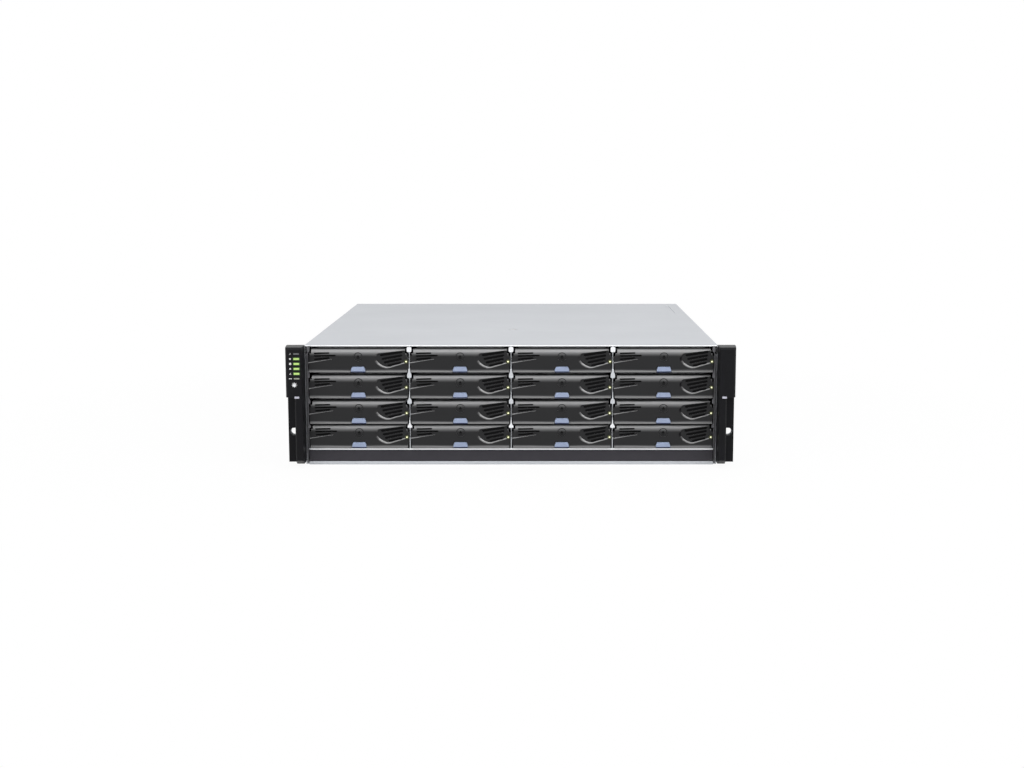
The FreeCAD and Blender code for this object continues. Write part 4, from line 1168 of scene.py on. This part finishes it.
# %% Cover of the right-hand flange
ear_low, ear_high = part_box("right_ear_cover")
ear_in, ear_out = ear_low.x / mm, ear_high.x / mm
ear_back, ear_bottom = (ear_high.y - front_y) / mm, ear_low.z / mm
ear_depth, upper_tall, plate_thick, ridge_width = 26.0, 53.6, 6.0, 8.0
ear_front, ear_top = ear_back - ear_depth, ear_high.z / mm
block_low = ear_top - upper_tall
plate_face = ear_back - plate_thick
ridge_out = ear_in + ridge_width
slot_x, slot_z = ear_out - 8.75, 37.3
slot_reach = 2.6


def moulded_ear():
    """The upper block, and below it the plate and the grip ridge, with the slot and the parting groove."""
    above = [(ear_in, ear_back), (ear_out, ear_back), (ear_out, plate_face), (ear_out - 1.8, ear_front + 2),
             (ear_out - 3.8, ear_front), (ear_in + 1, ear_front), (ear_in, ear_front + 1)]
    ear = facing_up("ear", above, block_low, ear_top)
    chamfer = facing_side("chamfer", [(ear_front - 1, ear_top - 2), (ear_front, ear_top - 2),
                                      (ear_front + 2, ear_top), (ear_front + 2, ear_top + 1),
                                      (ear_front - 1, ear_top + 1)], ear_in - 1, ear_out + 1)
    cut(ear, [chamfer])
    plate = block("ear_plate", ear_in, ear_out - 0.6, plate_face, ear_back, ear_bottom, block_low)
    grip = [(ear_in, ear_back), (ridge_out, ear_back), (ridge_out, ear_front + 1.5),
            (ridge_out - 1.5, ear_front), (ear_in + 1.5, ear_front), (ear_in, ear_front + 1.5)]
    ridge = facing_up("ridge", grip, ear_bottom, block_low + 0.5)
    foot = facing_side("foot", [(ear_front - 1, ear_bottom - 1), (ear_front + 9, ear_bottom - 1),
                                (ear_front + 9, ear_bottom), (ear_front, ear_bottom + 5),
                                (ear_front - 1, ear_bottom + 5)], ear_in - 1, ridge_out + 1)
    cut(ridge, [foot])
    add(ear, [plate, ridge])
    opening = bar_outline(slot_x - slot_reach, slot_z, slot_x + slot_reach, slot_z, 8.0, 8)
    slot = facing_front("rack_slot", opening, plate_face - 8, ear_back + 1)
    groove = block("parting_groove", ear_in - 1, ear_in + 0.5, ear_front + 6, ear_front + 6.6, ear_bottom - 1,
                   ear_top + 1)
    return cut(ear, [slot, groove])


right_mould = broken_edges(moulded_ear(), 0.6, segments=3)
painted(right_mould, ear_black)
print("ear faces:", len(right_mould.data.polygons))


# %% [markdown]
# ### Mirrored parts
# The left cover is the mirror image of the right one. A mirror turns the faces inside out, so
# their normals are set again afterwards.

# %% Mirror tool and the catches
def mirrored(thing, name):
    mesh = thing.data.copy()
    mesh.transform(Matrix.Diagonal((-1, 1, 1, 1)))
    form = bmesh.new()
    form.from_mesh(mesh)
    bmesh.ops.reverse_faces(form, faces=form.faces)
    form.to_mesh(mesh)
    form.free()
    return new_object(name, mesh)


def ear_catch():
    """The small pale catch where block and ridge meet."""
    x = ear_in + 5.5
    outline = rounded(rectangle(x - 2.5, x + 2.5, block_low - 1.1, block_low + 1.1), 0.6)
    tab = facing_front("catch", outline, ear_front - 0.3, ear_front + 0.9)
    return painted(broken_edges(tab, 0.2), pale_catch)


catch = ear_catch()
left_mould = mirrored(right_mould, "left_mould")
left_catch = mirrored(catch, "left_catch")
right_ear = joined("right_ear", [right_mould, catch])
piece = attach(placed(right_ear, "flange_cover_right", y=front_y), "shelf")
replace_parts(piece, "right_ear_cover")
drop(right_ear)
print("right cover set")

# %% [markdown]
# ### Status lamps, marks and the service button
# Six bars of clear plastic carry the light of the status lamps to the surface of the left cover.
# The first is off, the next four are lit green, and the last glows faintly. Small pale marks
# beside them tell what each stands for, in plain shapes. A ring of short rays surrounds the white
# service button.

# %% Lamps and marks on the left cover
bar_x, bar_top, bar_pitch = -(ear_in + 5.3), ear_top - 6.8, 5.3
mark_x, mark_scale = bar_x - 6.6, 0.85


lamp_finishes = [lamp_off, lamp_green, lamp_green, lamp_green, lamp_green, lamp_pale]


def lamp_bar(index):
    """One bar. A lit one has a larger and fainter patch round it, a painted glow that stands in for its light
    on the cover.
    """
    z = bar_top - index * bar_pitch
    lit = lamp_finishes[index] is lamp_green
    wide, high = (2.95, 0.95) if lit else (3.0, 0.7)
    edge = rectangle(bar_x - wide, bar_x + wide, z - high, z + high)
    bar = facing_front("bar", rounded(edge, 0.5), ear_front - 0.3, ear_front + 0.8)
    parts = [painted(broken_edges(bar, 0.12), lamp_finishes[index])]
    if lit:
        spill = facing_front("spill", rounded(grown(edge, 0.8), 0.8), ear_front - 0.06, ear_front + 0.4)
        parts.append(painted(broken_edges(spill, 0.04), painted_lamp_glow))
    return parts


def mark(outline, x, z):
    points = [(x + mark_scale * across, z + mark_scale * up) for across, up in outline]
    shape = facing_front("mark", points, ear_front - 0.05, ear_front + 0.2)
    return painted(broken_edges(shape, 0.03, segments=1), mark_white)


bolt_mark = [(0.7, 1.5), (-0.9, -0.2), (-0.1, -0.2), (-0.8, -1.5), (0.9, 0.3), (0.1, 0.3)]
square_mark = rounded(rectangle(-1.0, 1.0, -1.0, 1.0), 0.3)
wedge_mark = rounded([(-1.2, -1.0), (1.2, -1.0), (0, 1.2)], 0.25)
long_mark = rounded(rectangle(-1.8, 1.8, -0.5, 0.5), 0.3)
marks = [bolt_mark, circle(0, 0, 1.2, 20), circle(0, 0, 1.45, 20), square_mark, wedge_mark, long_mark]
lamps = [part for index in range(len(lamp_finishes)) for part in lamp_bar(index)]
lamps += [mark(outline, mark_x, bar_top - index * bar_pitch) for index, outline in enumerate(marks)]
print("lamps and marks:", len(lamps))

# %% Rays, well and service button
key_low, key_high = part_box("service_button")
key_x, key_z = (key_low.x + key_high.x) / 2 / mm, (key_low.z + key_high.z) / 2 / mm
key_front, key_back = (key_low.y - front_y) / mm, (key_high.y - front_y) / mm
key_radius = 2.0
well = facing_front("well", circle(key_x, key_z, key_radius + 0.2, 28), ear_front - 1, key_back + 1.2)
cut(left_mould, [well])
ray = painted(broken_edges(block("ray", -0.22, 0.22, -0.05, 0.2, -0.4, 0.4), 0.03, segments=1), mark_white)
rays = repeated("rays", ring_tree, ray, mark_white, 8, start=(key_x, ear_front, key_z), radius=2.6)
left_ear = joined("left_ear", [left_mould, left_catch, rays] + lamps)
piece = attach(placed(left_ear, "flange_cover_left", y=front_y), "shelf")
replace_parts(piece, "left_ear_cover")
key = facing_front("key", circle(key_x, key_z, key_radius, 28), key_front, key_back)
hollow = facing_front("hollow", circle(key_x, key_z, 0.9, 20), key_front - 1, key_front + 0.25)
key = painted(broken_edges(cut(key, [hollow]), 0.3, segments=3), pale_moulding)
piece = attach(placed(key, "service_key", y=front_y), "service_button")
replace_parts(piece, "service_button")
drop(left_ear, key, ray)
print("left cover and service button set")

# %% [markdown]
# ## Top cover
# The cover is two sheets with folded sides: a narrow fixed one in front and a wide one behind it
# that slides off. Each is a flat plate with softly folded edges. The seam between them is the one
# long line on the top, so it gets its real gap, and a screw behind it holds the rear sheet.

# %% Cover sheets
outer_x = cover_high.x / mm
inner_x = outer_x - 1.2
cover_top = top_z / mm
fold_low = cover_top - 9
seam_y, seam_half = 146.0, 0.2
cover_screw_y, dimple_depth = seam_y + 17, 0.45
depth_y = (rear_y - front_y) / mm


def cover_sheet(name, y0, y1, cuts):
    """A flat sheet with both sides folded down, and cuts in its top."""
    section = [(-outer_x, fold_low), (-outer_x, cover_top), (outer_x, cover_top), (outer_x, fold_low),
               (inner_x, fold_low), (inner_x, cover_under), (-inner_x, cover_under), (-inner_x, fold_low)]
    sheet = cut(facing_front(name, section, y0, y1), cuts)
    return painted(broken_edges(sheet, 0.45, segments=3), cover_zinc)


def sunk(name, outline, depth):
    """A cutter for a shallow hollow in the top of the cover."""
    return facing_up(name, outline, cover_top - depth, cover_top + 1)


# The front edge of the front sheet gets the brighter zinc, a painted highlight.
front_sheet = painted_edge_highlight(cover_sheet("front_sheet", 0, seam_y - seam_half, []), 0)
latch_x = outer_x - 16
latch_slot = sunk("sunk_slot", bar_outline(latch_x, depth_y - 138, latch_x, depth_y - 42, 5), 0.7)
dimple = sunk("dimple", circle(0, cover_screw_y, 5.2, 28), dimple_depth)
rear_sheet = cover_sheet("rear_sheet", seam_y + seam_half, depth_y, [latch_slot, dimple])
cover_screw = screw_head(3.4, 1.0)
cover_screw.data.transform(Matrix.Translation((0, cover_screw_y, cover_top - dimple_depth)))
cover = joined("cover", [front_sheet, rear_sheet, cover_screw])
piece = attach(placed(cover, "cover_sheets", y=front_y), "shelf")
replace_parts(piece, "top_cover")
drop(cover)
print("cover set, seam at", seam_y)

# %% [markdown]
# ## Chassis
# The pan carries everything. It is a folded floor with walls, stiffened at the front edges, with
# the rack flanges on brackets and the partitions of the rear bays inside. Its outsides are seen when
# the shelf is out of its rack, so they carry the rivets and screws that hold what is inside. These
# stand in rows, which the node tree for rows sets out. Each row of rivets starts a hair behind
# the row below it.

# %% Folded pan, flanges and partitions
flange_x = pan_high.x / mm
module_room = 0.4
partition_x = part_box("io_module_upper")[1].x / mm + module_room + plate_half
bay_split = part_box("io_module_lower")[1].z / mm + module_room
module_y = (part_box("io_module_upper")[0].y - front_y) / mm
pan_thick, flange_thick = 1.2, 2


def rack_flange(side):
    """The plate with the rack slot, and the leg that carries it on the side wall."""
    low, high = ear_bottom + 2, ear_top - 3
    x0, x1 = sorted((side * outer_x, side * flange_x))
    plate = block("flange", x0, x1, -flange_thick, 0, low, high)
    x = side * slot_x
    opening = bar_outline(x - slot_reach, slot_z, x + slot_reach, slot_z, 7.2, 8)
    cut(plate, [facing_front("rack_slot", opening, -flange_thick - 1, 1)])
    x0, x1 = sorted((side * outer_x, side * (outer_x + flange_thick)))
    leg = block("leg", x0, x1, 0, 42, low, high)
    return [broken_edges(plate, 0.25), broken_edges(leg, 0.25)]


def pan_plates():
    cage_x = (cage_high.x - 2.5 * mm) / mm
    split_x = partition_x - plate_half
    plates = [block("floor", -outer_x, outer_x, 0, depth_y, 0, pan_thick),
              block("lip_floor", -cage_x, cage_x, edge_y, 0, 0, pan_thick),
              block("lip", -cage_x, cage_x, edge_y, edge_y + pan_thick, pan_thick, 3.6),
              block("split", -split_x, split_x, module_y, depth_y, bay_split, bay_split + 1)]
    for side in (-1, 1):
        x0, x1 = sorted((side * inner_x, side * outer_x))
        plates.append(block("wall", x0, x1, 0, depth_y, pan_thick, fold_low))
        x0, x1 = sorted((side * (inner_x - 2), side * inner_x))
        plates.append(block("stiffener", x0, x1, 0, pan_thick, pan_thick, fold_low))
        x0, x1 = side * partition_x - plate_half, side * partition_x + plate_half
        plates.append(block("partition", x0, x1, module_y - 12, depth_y, pan_thick, cover_under))
        plates += rack_flange(side)
    # The stiffeners get the darker zinc, painted shade.
    finishes = [zinc_painted_shade if plate.name.startswith("stiffener") else chassis_zinc for plate in plates]
    return [painted(broken_edges(plate, 0.3), finish) for plate, finish in zip(plates, finishes)]


def rivet():
    """Low round rivet head."""
    return painted(screw_head(2.0, 0.6, cross=False), chassis_zinc)


plates = pan_plates()
print("chassis plates:", len(plates))

# %% Rivets and screws on the outside
def turned(thing, axis, degrees):
    thing.data.transform(Matrix.Rotation(math.radians(degrees), 4, axis))
    return thing


fixings = []
for side in (-1, 1):
    head = turned(rivet(), "Y", 90 * side)
    for z in (24, 52, 80, 108):
        first = (side * outer_x, 165 + 0.01 * z, z)
        fixings.append(repeated("wall_rivets", row_tree, head, chassis_zinc, 5, first, (0, 78, 0)))
    drop(head)
    head = turned(screw_head(3.0, 1.4), "Y", 90 * side)
    first = (side * (outer_x + flange_thick), 24, 22)
    fixings.append(repeated("bracket_screws", row_tree, head, screw_steel, 4, first, (0, 0, 29)))
    first = (side * outer_x, 190, cover_top - 4.6)
    fixings.append(repeated("skirt_screws", row_tree, head, screw_steel, 3, first, (0, 140, 0)))
    drop(head)
pan = joined("pan", plates + fixings)
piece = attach(placed(pan, "chassis_plates", y=front_y), "shelf")
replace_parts(piece, "chassis_pan")
drop(pan)
print("pan faces:", len(piece.data.polygons))

# %% [markdown]
# ### Front sill
# The dark strip under the lowest row hides the space below the cage. It is one folded sheet with a
# rolled upper and lower edge.

# %% Sill
sill_low, sill_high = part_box("front_sill")


def sill_sheet():
    half_x, z0, z1 = sill_high.x / mm, sill_low.z / mm, sill_high.z / mm
    face_part = block("sill_face", -half_x, half_x, edge_y, edge_y + 2, z0, z1)
    ends = [block("sill_end", x, x + 2, edge_y, edge_y + 14, z0, z1) for x in (-half_x, half_x - 2)]
    return painted(broken_edges(add(face_part, ends), 0.5, segments=3), sill_paint)


sill = sill_sheet()
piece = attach(placed(sill, "sill_sheet", y=front_y), "shelf")
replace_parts(piece, "front_sill")
drop(sill)
print("sill set")

# %% [markdown]
# ## Power and cooling modules
# Each of these slides in from the rear on its own and holds a fan, a mains inlet, a switch and a
# loop handle. The guard over the fan is cut out of the rear plate as slots with round ends, each
# as long as the round opening is at its height. The fan behind it has pitched blades, which the
# node tree for rings sets round the hub. A blade is a curved sheet, narrower and steeper at the hub.

# %% Rear plate with its fan guard
power_low, power_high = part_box("power_module_right")
power_half = (power_high.x - power_low.x) / 2 / mm
power_mid = (power_high.x + power_low.x) / 2 / mm
power_z0, power_z1 = power_low.z / mm, power_high.z / mm
power_y0, power_y1 = (power_low.y - front_y) / mm, depth_y
fan_radius, frame_wall = 38.0, 2
fan_z = power_z0 + 3 + frame_wall + fan_radius
strip_z = power_z1 - 19
inlet_half, switch_half = 13.5, 6.5
inlet_x = 8 + inlet_half - power_half
switch_x = inlet_x + inlet_half + 6 + switch_half
loop_x0, loop_x1 = switch_x + switch_half + 6, power_half - 6


def guard_slots(pitch, bar):
    """Slots across the round opening, with bars between them, each as long as the circle is wide there."""
    count = int(2 * fan_radius / pitch)
    slots = []
    for i in range(count):
        off = (i + 0.5) * pitch - fan_radius
        reach = math.sqrt(fan_radius ** 2 - (abs(off) + pitch / 4) ** 2) - (pitch - bar) / 2
        outline = bar_outline(-reach, fan_z + off, reach, fan_z + off, pitch - bar, 4)
        slots.append(facing_front("guard_slot", outline, power_y1 - 2, power_y1 + 1))
    return slots


def power_rear_plate():
    plate = block("rear_plate", -power_half, power_half, power_y1 - 1, power_y1, power_z0, power_z1)
    openings = guard_slots(2 * fan_radius / 9, 2.4)
    for x, wide, high in ((inlet_x, 2 * inlet_half, 20), (switch_x, 2 * switch_half, 19)):
        openings.append(block("opening", x - wide / 2, x + wide / 2, power_y1 - 2, power_y1 + 1,
                              strip_z - high / 2, strip_z + high / 2))
    return painted(broken_edges(cut(plate, openings), 0.2), module_zinc)


rear_plate = power_rear_plate()
print("rear plate faces:", len(rear_plate.data.polygons))


# %% Fan
def fan_blade():
    """A pitched, slightly curved blade standing on the hub, with its root at the origin."""
    corners, faces = [], []
    across, up = 8, 6
    for k in range(up + 1):
        t = k / up
        chord, pitch = 15 + 5 * t, math.radians(52 - 20 * t)
        for thick in (-0.6, 0.6):
            for i in range(across + 1):
                s = (i / across - 0.5) * chord
                bow = 1.6 * (1 - (2 * i / across - 1) ** 2)
                x = s * math.cos(pitch) - (bow + thick) * math.sin(pitch)
                y = s * math.sin(pitch) + (bow + thick) * math.cos(pitch)
                corners.append((x, y, 20.0 * t))
    row = across + 1
    for k in range(up):
        low, high = k * 2 * row, (k + 1) * 2 * row
        for i in range(across):
            faces.append((low + i, low + i + 1, high + i + 1, high + i))
            faces.append((low + row + i + 1, low + row + i, high + row + i, high + row + i + 1))
        for i in (0, across):
            faces.append((low + i, high + i, high + row + i, low + row + i))
    for k in (0, up):
        base = k * 2 * row
        for i in range(across):
            faces.append((base + i, base + i + 1, base + row + i + 1, base + row + i))
    mesh = bpy.data.meshes.new("blade")
    mesh.from_pydata(corners, [], faces)
    form = bmesh.new()
    form.from_mesh(mesh)
    bmesh.ops.recalc_face_normals(form, faces=form.faces)
    form.to_mesh(mesh)
    form.free()
    return painted(smooth(new_object("blade", mesh)), fan_black)


def cooling_fan():
    """The square frame with its strut, the hub, and five blades round it."""
    side, y0, y1 = fan_radius + frame_wall, power_y1 - 26, power_y1 - 1.0
    middle_y = (y0 + y1) / 2
    frame_edge = rounded(rectangle(-side, side, fan_z - side, fan_z + side), 3)
    frame_ring = facing_front("frame", frame_edge, y0, y1)
    bore = facing_front("bore", circle(0, fan_z, fan_radius, 56), y0 - 1, y1 + 1)
    cut(frame_ring, [bore])
    add(frame_ring, [block("strut", -fan_radius - 1, fan_radius + 1, y0, y0 + 2, fan_z - 3, fan_z + 3)])
    hub = facing_front("hub", circle(0, fan_z, 17, 48), y0 + 2, y1 - 2)
    dish = facing_front("dish", circle(0, fan_z, 13.5, 40), y1 - 3, y1)
    cut(hub, [dish])
    blade = fan_blade()
    blades = repeated("blades", ring_tree, blade, fan_black, 5, start=(0, middle_y, fan_z), radius=16.4)
    drop(blade)
    solids = [broken_edges(frame_ring, 0.4), broken_edges(hub, 0.8, segments=3)]
    return joined("fan", [painted(solid, fan_black) for solid in solids] + [blades])


fan = cooling_fan()
print("fan faces:", len(fan.data.polygons))

# %% [markdown]
# ### Inlet, switch and loop handle
# The mains inlet is a socket with three blades, sunk into the plate. The rocker of the switch leans
# to one side. The handle is a bent bar with soft edges, made from its outline seen from above.

# %% Inlet, switch, handle
def mains_inlet():
    """A sunk socket whose mouth has two slanted upper corners, with three flat blades."""
    x, z, y1 = inlet_x, strip_z, power_y1
    rim = rounded(rectangle(x - inlet_half, x + inlet_half, z - 10, z + 10), 2)
    body = facing_front("inlet", rim, y1 - 18, y1 + 0.8)
    mouth = [(x - 11.5, z - 8.2), (x + 11.5, z - 8.2), (x + 11.5, z + 4), (x + 7.5, z + 8.2),
             (x - 7.5, z + 8.2), (x - 11.5, z + 4)]
    cut(body, [facing_front("mouth", rounded(mouth, 1.2), y1 - 16, y1 + 2)])
    parts = [painted(broken_edges(body, 0.4), fan_black)]
    for dx, dz in ((-7, -2.0), (7, -2.0), (0, 2.0)):
        pin = block("pin", x + dx - 1, x + dx + 1, y1 - 16, y1 - 5, z + dz - 2.2, z + dz + 2.2)
        parts.append(painted(broken_edges(pin, 0.4), port_metal))
    return parts


def rocker_switch():
    x, z, y1 = switch_x, strip_z, power_y1
    well = block("switch_frame", x - switch_half, x + switch_half, y1 - 12, y1 + 0.6, z - 9.5, z + 9.5)
    cut(well, [block("switch_mouth", x - 5.3, x + 5.3, y1 - 9, y1 + 2, z - 8.3, z + 8.3)])
    lean = [(y1 - 8, z - 8), (y1 + 2.8, z - 8), (y1 + 0.2, z), (y1 + 1.0, z + 8), (y1 - 8, z + 8)]
    rocker = facing_side("rocker", lean, x - 5, x + 5)
    dot = block("dot", x - 0.4, x + 0.4, y1 + 0.2, y1 + 2.2, z - 5.6, z - 2.6)
    cut(rocker, [dot])
    return [painted(broken_edges(well, 0.3), fan_black), painted(broken_edges(rocker, 0.5), handle_black)]


def loop_handle():
    """A bar bent to a U. Only the two corners away from the plate are rounded."""
    x0, x1, y1, y2 = loop_x0, loop_x1, power_y1, power_y1 + 30
    thick, height = 5, 14
    outer = [(x0, y1), (x0, y2), (x1, y2), (x1, y1)]
    inside = [(x1 - thick, y1), (x1 - thick, y2 - thick), (x0 + thick, y2 - thick), (x0 + thick, y1)]
    bent = [outer[0], *rounded(outer, 7)[5:15], outer[3], inside[0], *rounded(inside, 4)[5:15], inside[3]]
    bar = facing_up("handle", bent, strip_z - height / 2, strip_z + height / 2)
    return [painted(broken_edges(bar, 1.1, segments=4), handle_black)]


fittings = mains_inlet() + rocker_switch() + loop_handle()
print("fittings:", len(fittings))


# %% Module case
def module_case(x0, x1, y0, y1, z0, z1, lid):
    """Thin folded plates of a module, with soft edges."""
    plates = [block("floor", x0, x1, y0, y1, z0, z0 + 1)]
    plates += [block("side", x, x + 1, y0, y1, z0 + 1, z1 - (1 if lid else 0)) for x in (x0, x1 - 1)]
    if lid:
        plates.append(block("lid", x0, x1, y0, y1, z1 - 1, z1))
        plates += [block("intake", x0 + 1, x1 - 1, y0, y0 + 1, low, high)
                   for low, high in ((z0 + 1, z0 + 26), (z1 - 26, z1 - 1))]
    return [painted(broken_edges(plate, 0.2), module_zinc) for plate in plates]


screw_rear = turned(screw_head(2.6, 1.0), "X", -90)
screw_inset = 5
screw_gap = (0, 0, power_z1 - power_z0 - 2 * screw_inset)
plate_screws = [repeated("plate_screws", row_tree, screw_rear, screw_steel, 2,
                         (x, power_y1, power_z0 + screw_inset), screw_gap)
                for x in (screw_inset - power_half, power_half - screw_inset)]
case = module_case(-power_half, power_half, power_y0, power_y1 - 1, power_z0, power_z1, lid=True)
power = joined("power", case + [rear_plate, fan] + fittings + plate_screws)
for side, name in ((-1, "left"), (1, "right")):
    piece = placed(power, f"power_and_fan_{name}", x=side * power_mid * mm, y=front_y)
    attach(piece, f"power_module_{name}")
    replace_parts(piece, f"power_module_{name}")
print("power module faces:", len(power.data.polygons))
drop(power)

# %% [markdown]
# ## Interface modules
# Two flat modules between the power modules carry the ports. Each has three rows of vents, three
# sockets for cables, a round service socket with three lamps beside it, two screws, and a pair of
# ejector levers. The levers lie flat against the plate when the module is seated.

# %% Interface module
face_low, face_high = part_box("io_module_lower")
face_half = (face_high.x - face_low.x) / 2 / mm
face_tall = (face_high.z - face_low.z) / mm
face_y0 = (face_low.y - front_y) / mm
lever_y = (face_high.y - front_y) / mm
port_z, port_half, port_tall, port_wall = 8.6, 8.5, 10, 0.8
port_places = [-54, -30, -6]
small_z = port_z + port_tall / 2
service_x = 40
face_lamps = {56: lamp_green, 62: lamp_green, 68: lamp_off}
board_z, board_thick = 7, 1.6
vent_rows, vent_columns, vent_inset = 3, 9, 12
vent_pitch = (2 * face_half - 2 * vent_inset) / vent_columns


def vent_slots():
    slots = []
    reach = vent_pitch * 0.34
    for row in range(vent_rows):
        z = face_tall / 2 + 1.2 + row * 4.8
        for i in range(vent_columns):
            x = -face_half + vent_inset + (i + 0.5) * vent_pitch
            outline = bar_outline(x - reach, z, x + reach, z, 2.4, 4)
            slots.append(facing_front("vent", outline, depth_y - 3, depth_y + 1))
    return slots


def cable_port(x):
    """A thin socket shield with the contact tongue inside."""
    shield = block("shield", x - port_half, x + port_half, depth_y - 24, depth_y + 0.6,
                   port_z, port_z + port_tall)
    mouth_half = port_half - port_wall
    cut(shield, [block("mouth", x - mouth_half, x + mouth_half, depth_y - 21, depth_y + 2,
                       port_z + port_wall, port_z + port_tall - port_wall)])
    tongue = block("tongue", x - 6.2, x + 6.2, depth_y - 20, depth_y - 5, port_z + 4, port_z + 5.6)
    return [painted(broken_edges(shield, 0.15), port_metal), painted(broken_edges(tongue, 0.2), fan_black)]


def lever(side):
    """An ejector lever lying flat, with a hollow for a fingertip near its inner end."""
    tip, root = side * (face_half - 65), side * (face_half - 3)
    z0, z1 = face_tall - 12, face_tall - 3
    middle = (z0 + z1) / 2
    outline = rounded(rectangle(min(tip, root), max(tip, root), z0, z1), 3)
    bar = facing_front("lever", outline, depth_y, lever_y)
    hollow = bar_outline(tip + side * 6, middle, tip + side * 26, middle, 5, 6)
    cut(bar, [facing_front("finger", hollow, lever_y - 1.2, lever_y + 1)])
    return painted(broken_edges(bar, 0.6, segments=3), handle_black)


def module_face():
    """The rear plate with its vents and openings."""
    y0, y1 = depth_y - 2, depth_y + 1
    plate = block("rear_plate", -face_half, face_half, depth_y - 1, depth_y, 0, face_tall)
    openings = [block("port_cut", x - port_half, x + port_half, y0, y1, port_z, port_z + port_tall)
                for x in port_places]
    openings.append(facing_front("round_cut", circle(service_x, small_z, 4.4, 28), y0, y1))
    openings += [facing_front("lamp_cut", circle(x, small_z, 1.2, 16), y0, y1) for x in face_lamps]
    return painted(broken_edges(cut(plate, vent_slots() + openings), 0.2), module_zinc)


def round_socket():
    service = facing_front("service", circle(service_x, small_z, 4.3, 28), depth_y - 12, depth_y - 0.2)
    cut(service, [facing_front("key", circle(service_x, small_z, 3.2, 24), depth_y - 4, depth_y + 1)])
    return painted(broken_edges(service, 0.25), fan_black)


def face_lamp(x, finish):
    lens_end = facing_front("lamp", circle(x, small_z, 1.1, 16), depth_y - 3, depth_y + 0.25)
    return painted(broken_edges(lens_end, 0.25), finish)


def module_board():
    """The board on its four studs, with its plug and three chips."""
    board_top = board_z + board_thick
    board = block("board", 6 - face_half, face_half - 6, face_y0 + 6, depth_y - 7, board_z, board_top)
    studs = [block("stud", x - 3, x + 3, y - 3, y + 3, 1, board_z) for x in (12 - face_half, face_half - 12)
             for y in (face_y0 + 18, depth_y - 37)]
    plug = block("plug", -60, 60, face_y0 - 11.4, face_y0 + 18, port_z, port_z + 12)
    chips = [block("chip", x - 15, x + 15, y - 15, y + 15, board_top, 11)
             for x, y in ((-60, 330), (0, 300), (60, 340))]
    return [painted(broken_edges(board, 0.15), board_green),
            *(painted(broken_edges(stud, 0.5), screw_steel) for stud in studs),
            painted(broken_edges(plug, 0.5), fan_black),
            *(painted(broken_edges(chip, 0.3), fan_black) for chip in chips)]


def interface_module():
    parts = module_case(-face_half, face_half, face_y0, depth_y - 1, 0, face_tall, lid=False)
    parts += [module_face(), lever(-1), lever(1)]
    parts += [part for x in port_places for part in cable_port(x)]
    parts.append(round_socket())
    parts += [face_lamp(x, finish) for x, finish in face_lamps.items()]
    parts += module_board()
    parts.append(repeated("lever_screws", row_tree, screw_rear, screw_steel, 2, (8 - face_half, depth_y, 6),
                          (2 * face_half - 16, 0, 0)))
    return joined("interface", parts)


interface = interface_module()
for name in ("upper", "lower"):
    piece = placed(interface, f"interface_{name}", y=front_y, z=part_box(f"io_module_{name}")[0].z)
    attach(piece, f"io_module_{name}")
    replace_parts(piece, f"io_module_{name}")
print("interface module faces:", len(interface.data.polygons))
drop(interface, screw_rear)

# %% [markdown]
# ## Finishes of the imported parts
# Only the midplane keeps its own solid, which gets the look of a board. The other solids are
# replaced by the pieces above, and get the finish that goes with them.

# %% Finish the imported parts
finish_by_start = {"drive": cage_zinc, "io_module": module_zinc, "power_module": module_zinc,
                   "top_cover": cover_zinc, "chassis_pan": chassis_zinc, "front_sill": sill_paint,
                   "midplane": board_green, "left_ear": ear_black, "right_ear": ear_black,
                   "service_button": pale_moulding, "tray_flap": bezel_black, "release_button": button_blue}
for name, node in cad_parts.items():
    node.data.materials.clear()
    fitting = [finish for start, finish in finish_by_start.items() if name.startswith(start)]
    node.data.materials.append(fitting[0])
print("parts that keep their solids:", sum(not node.hide_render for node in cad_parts.values()))

# %% Remove the master screws
drop(screw, small_screw)
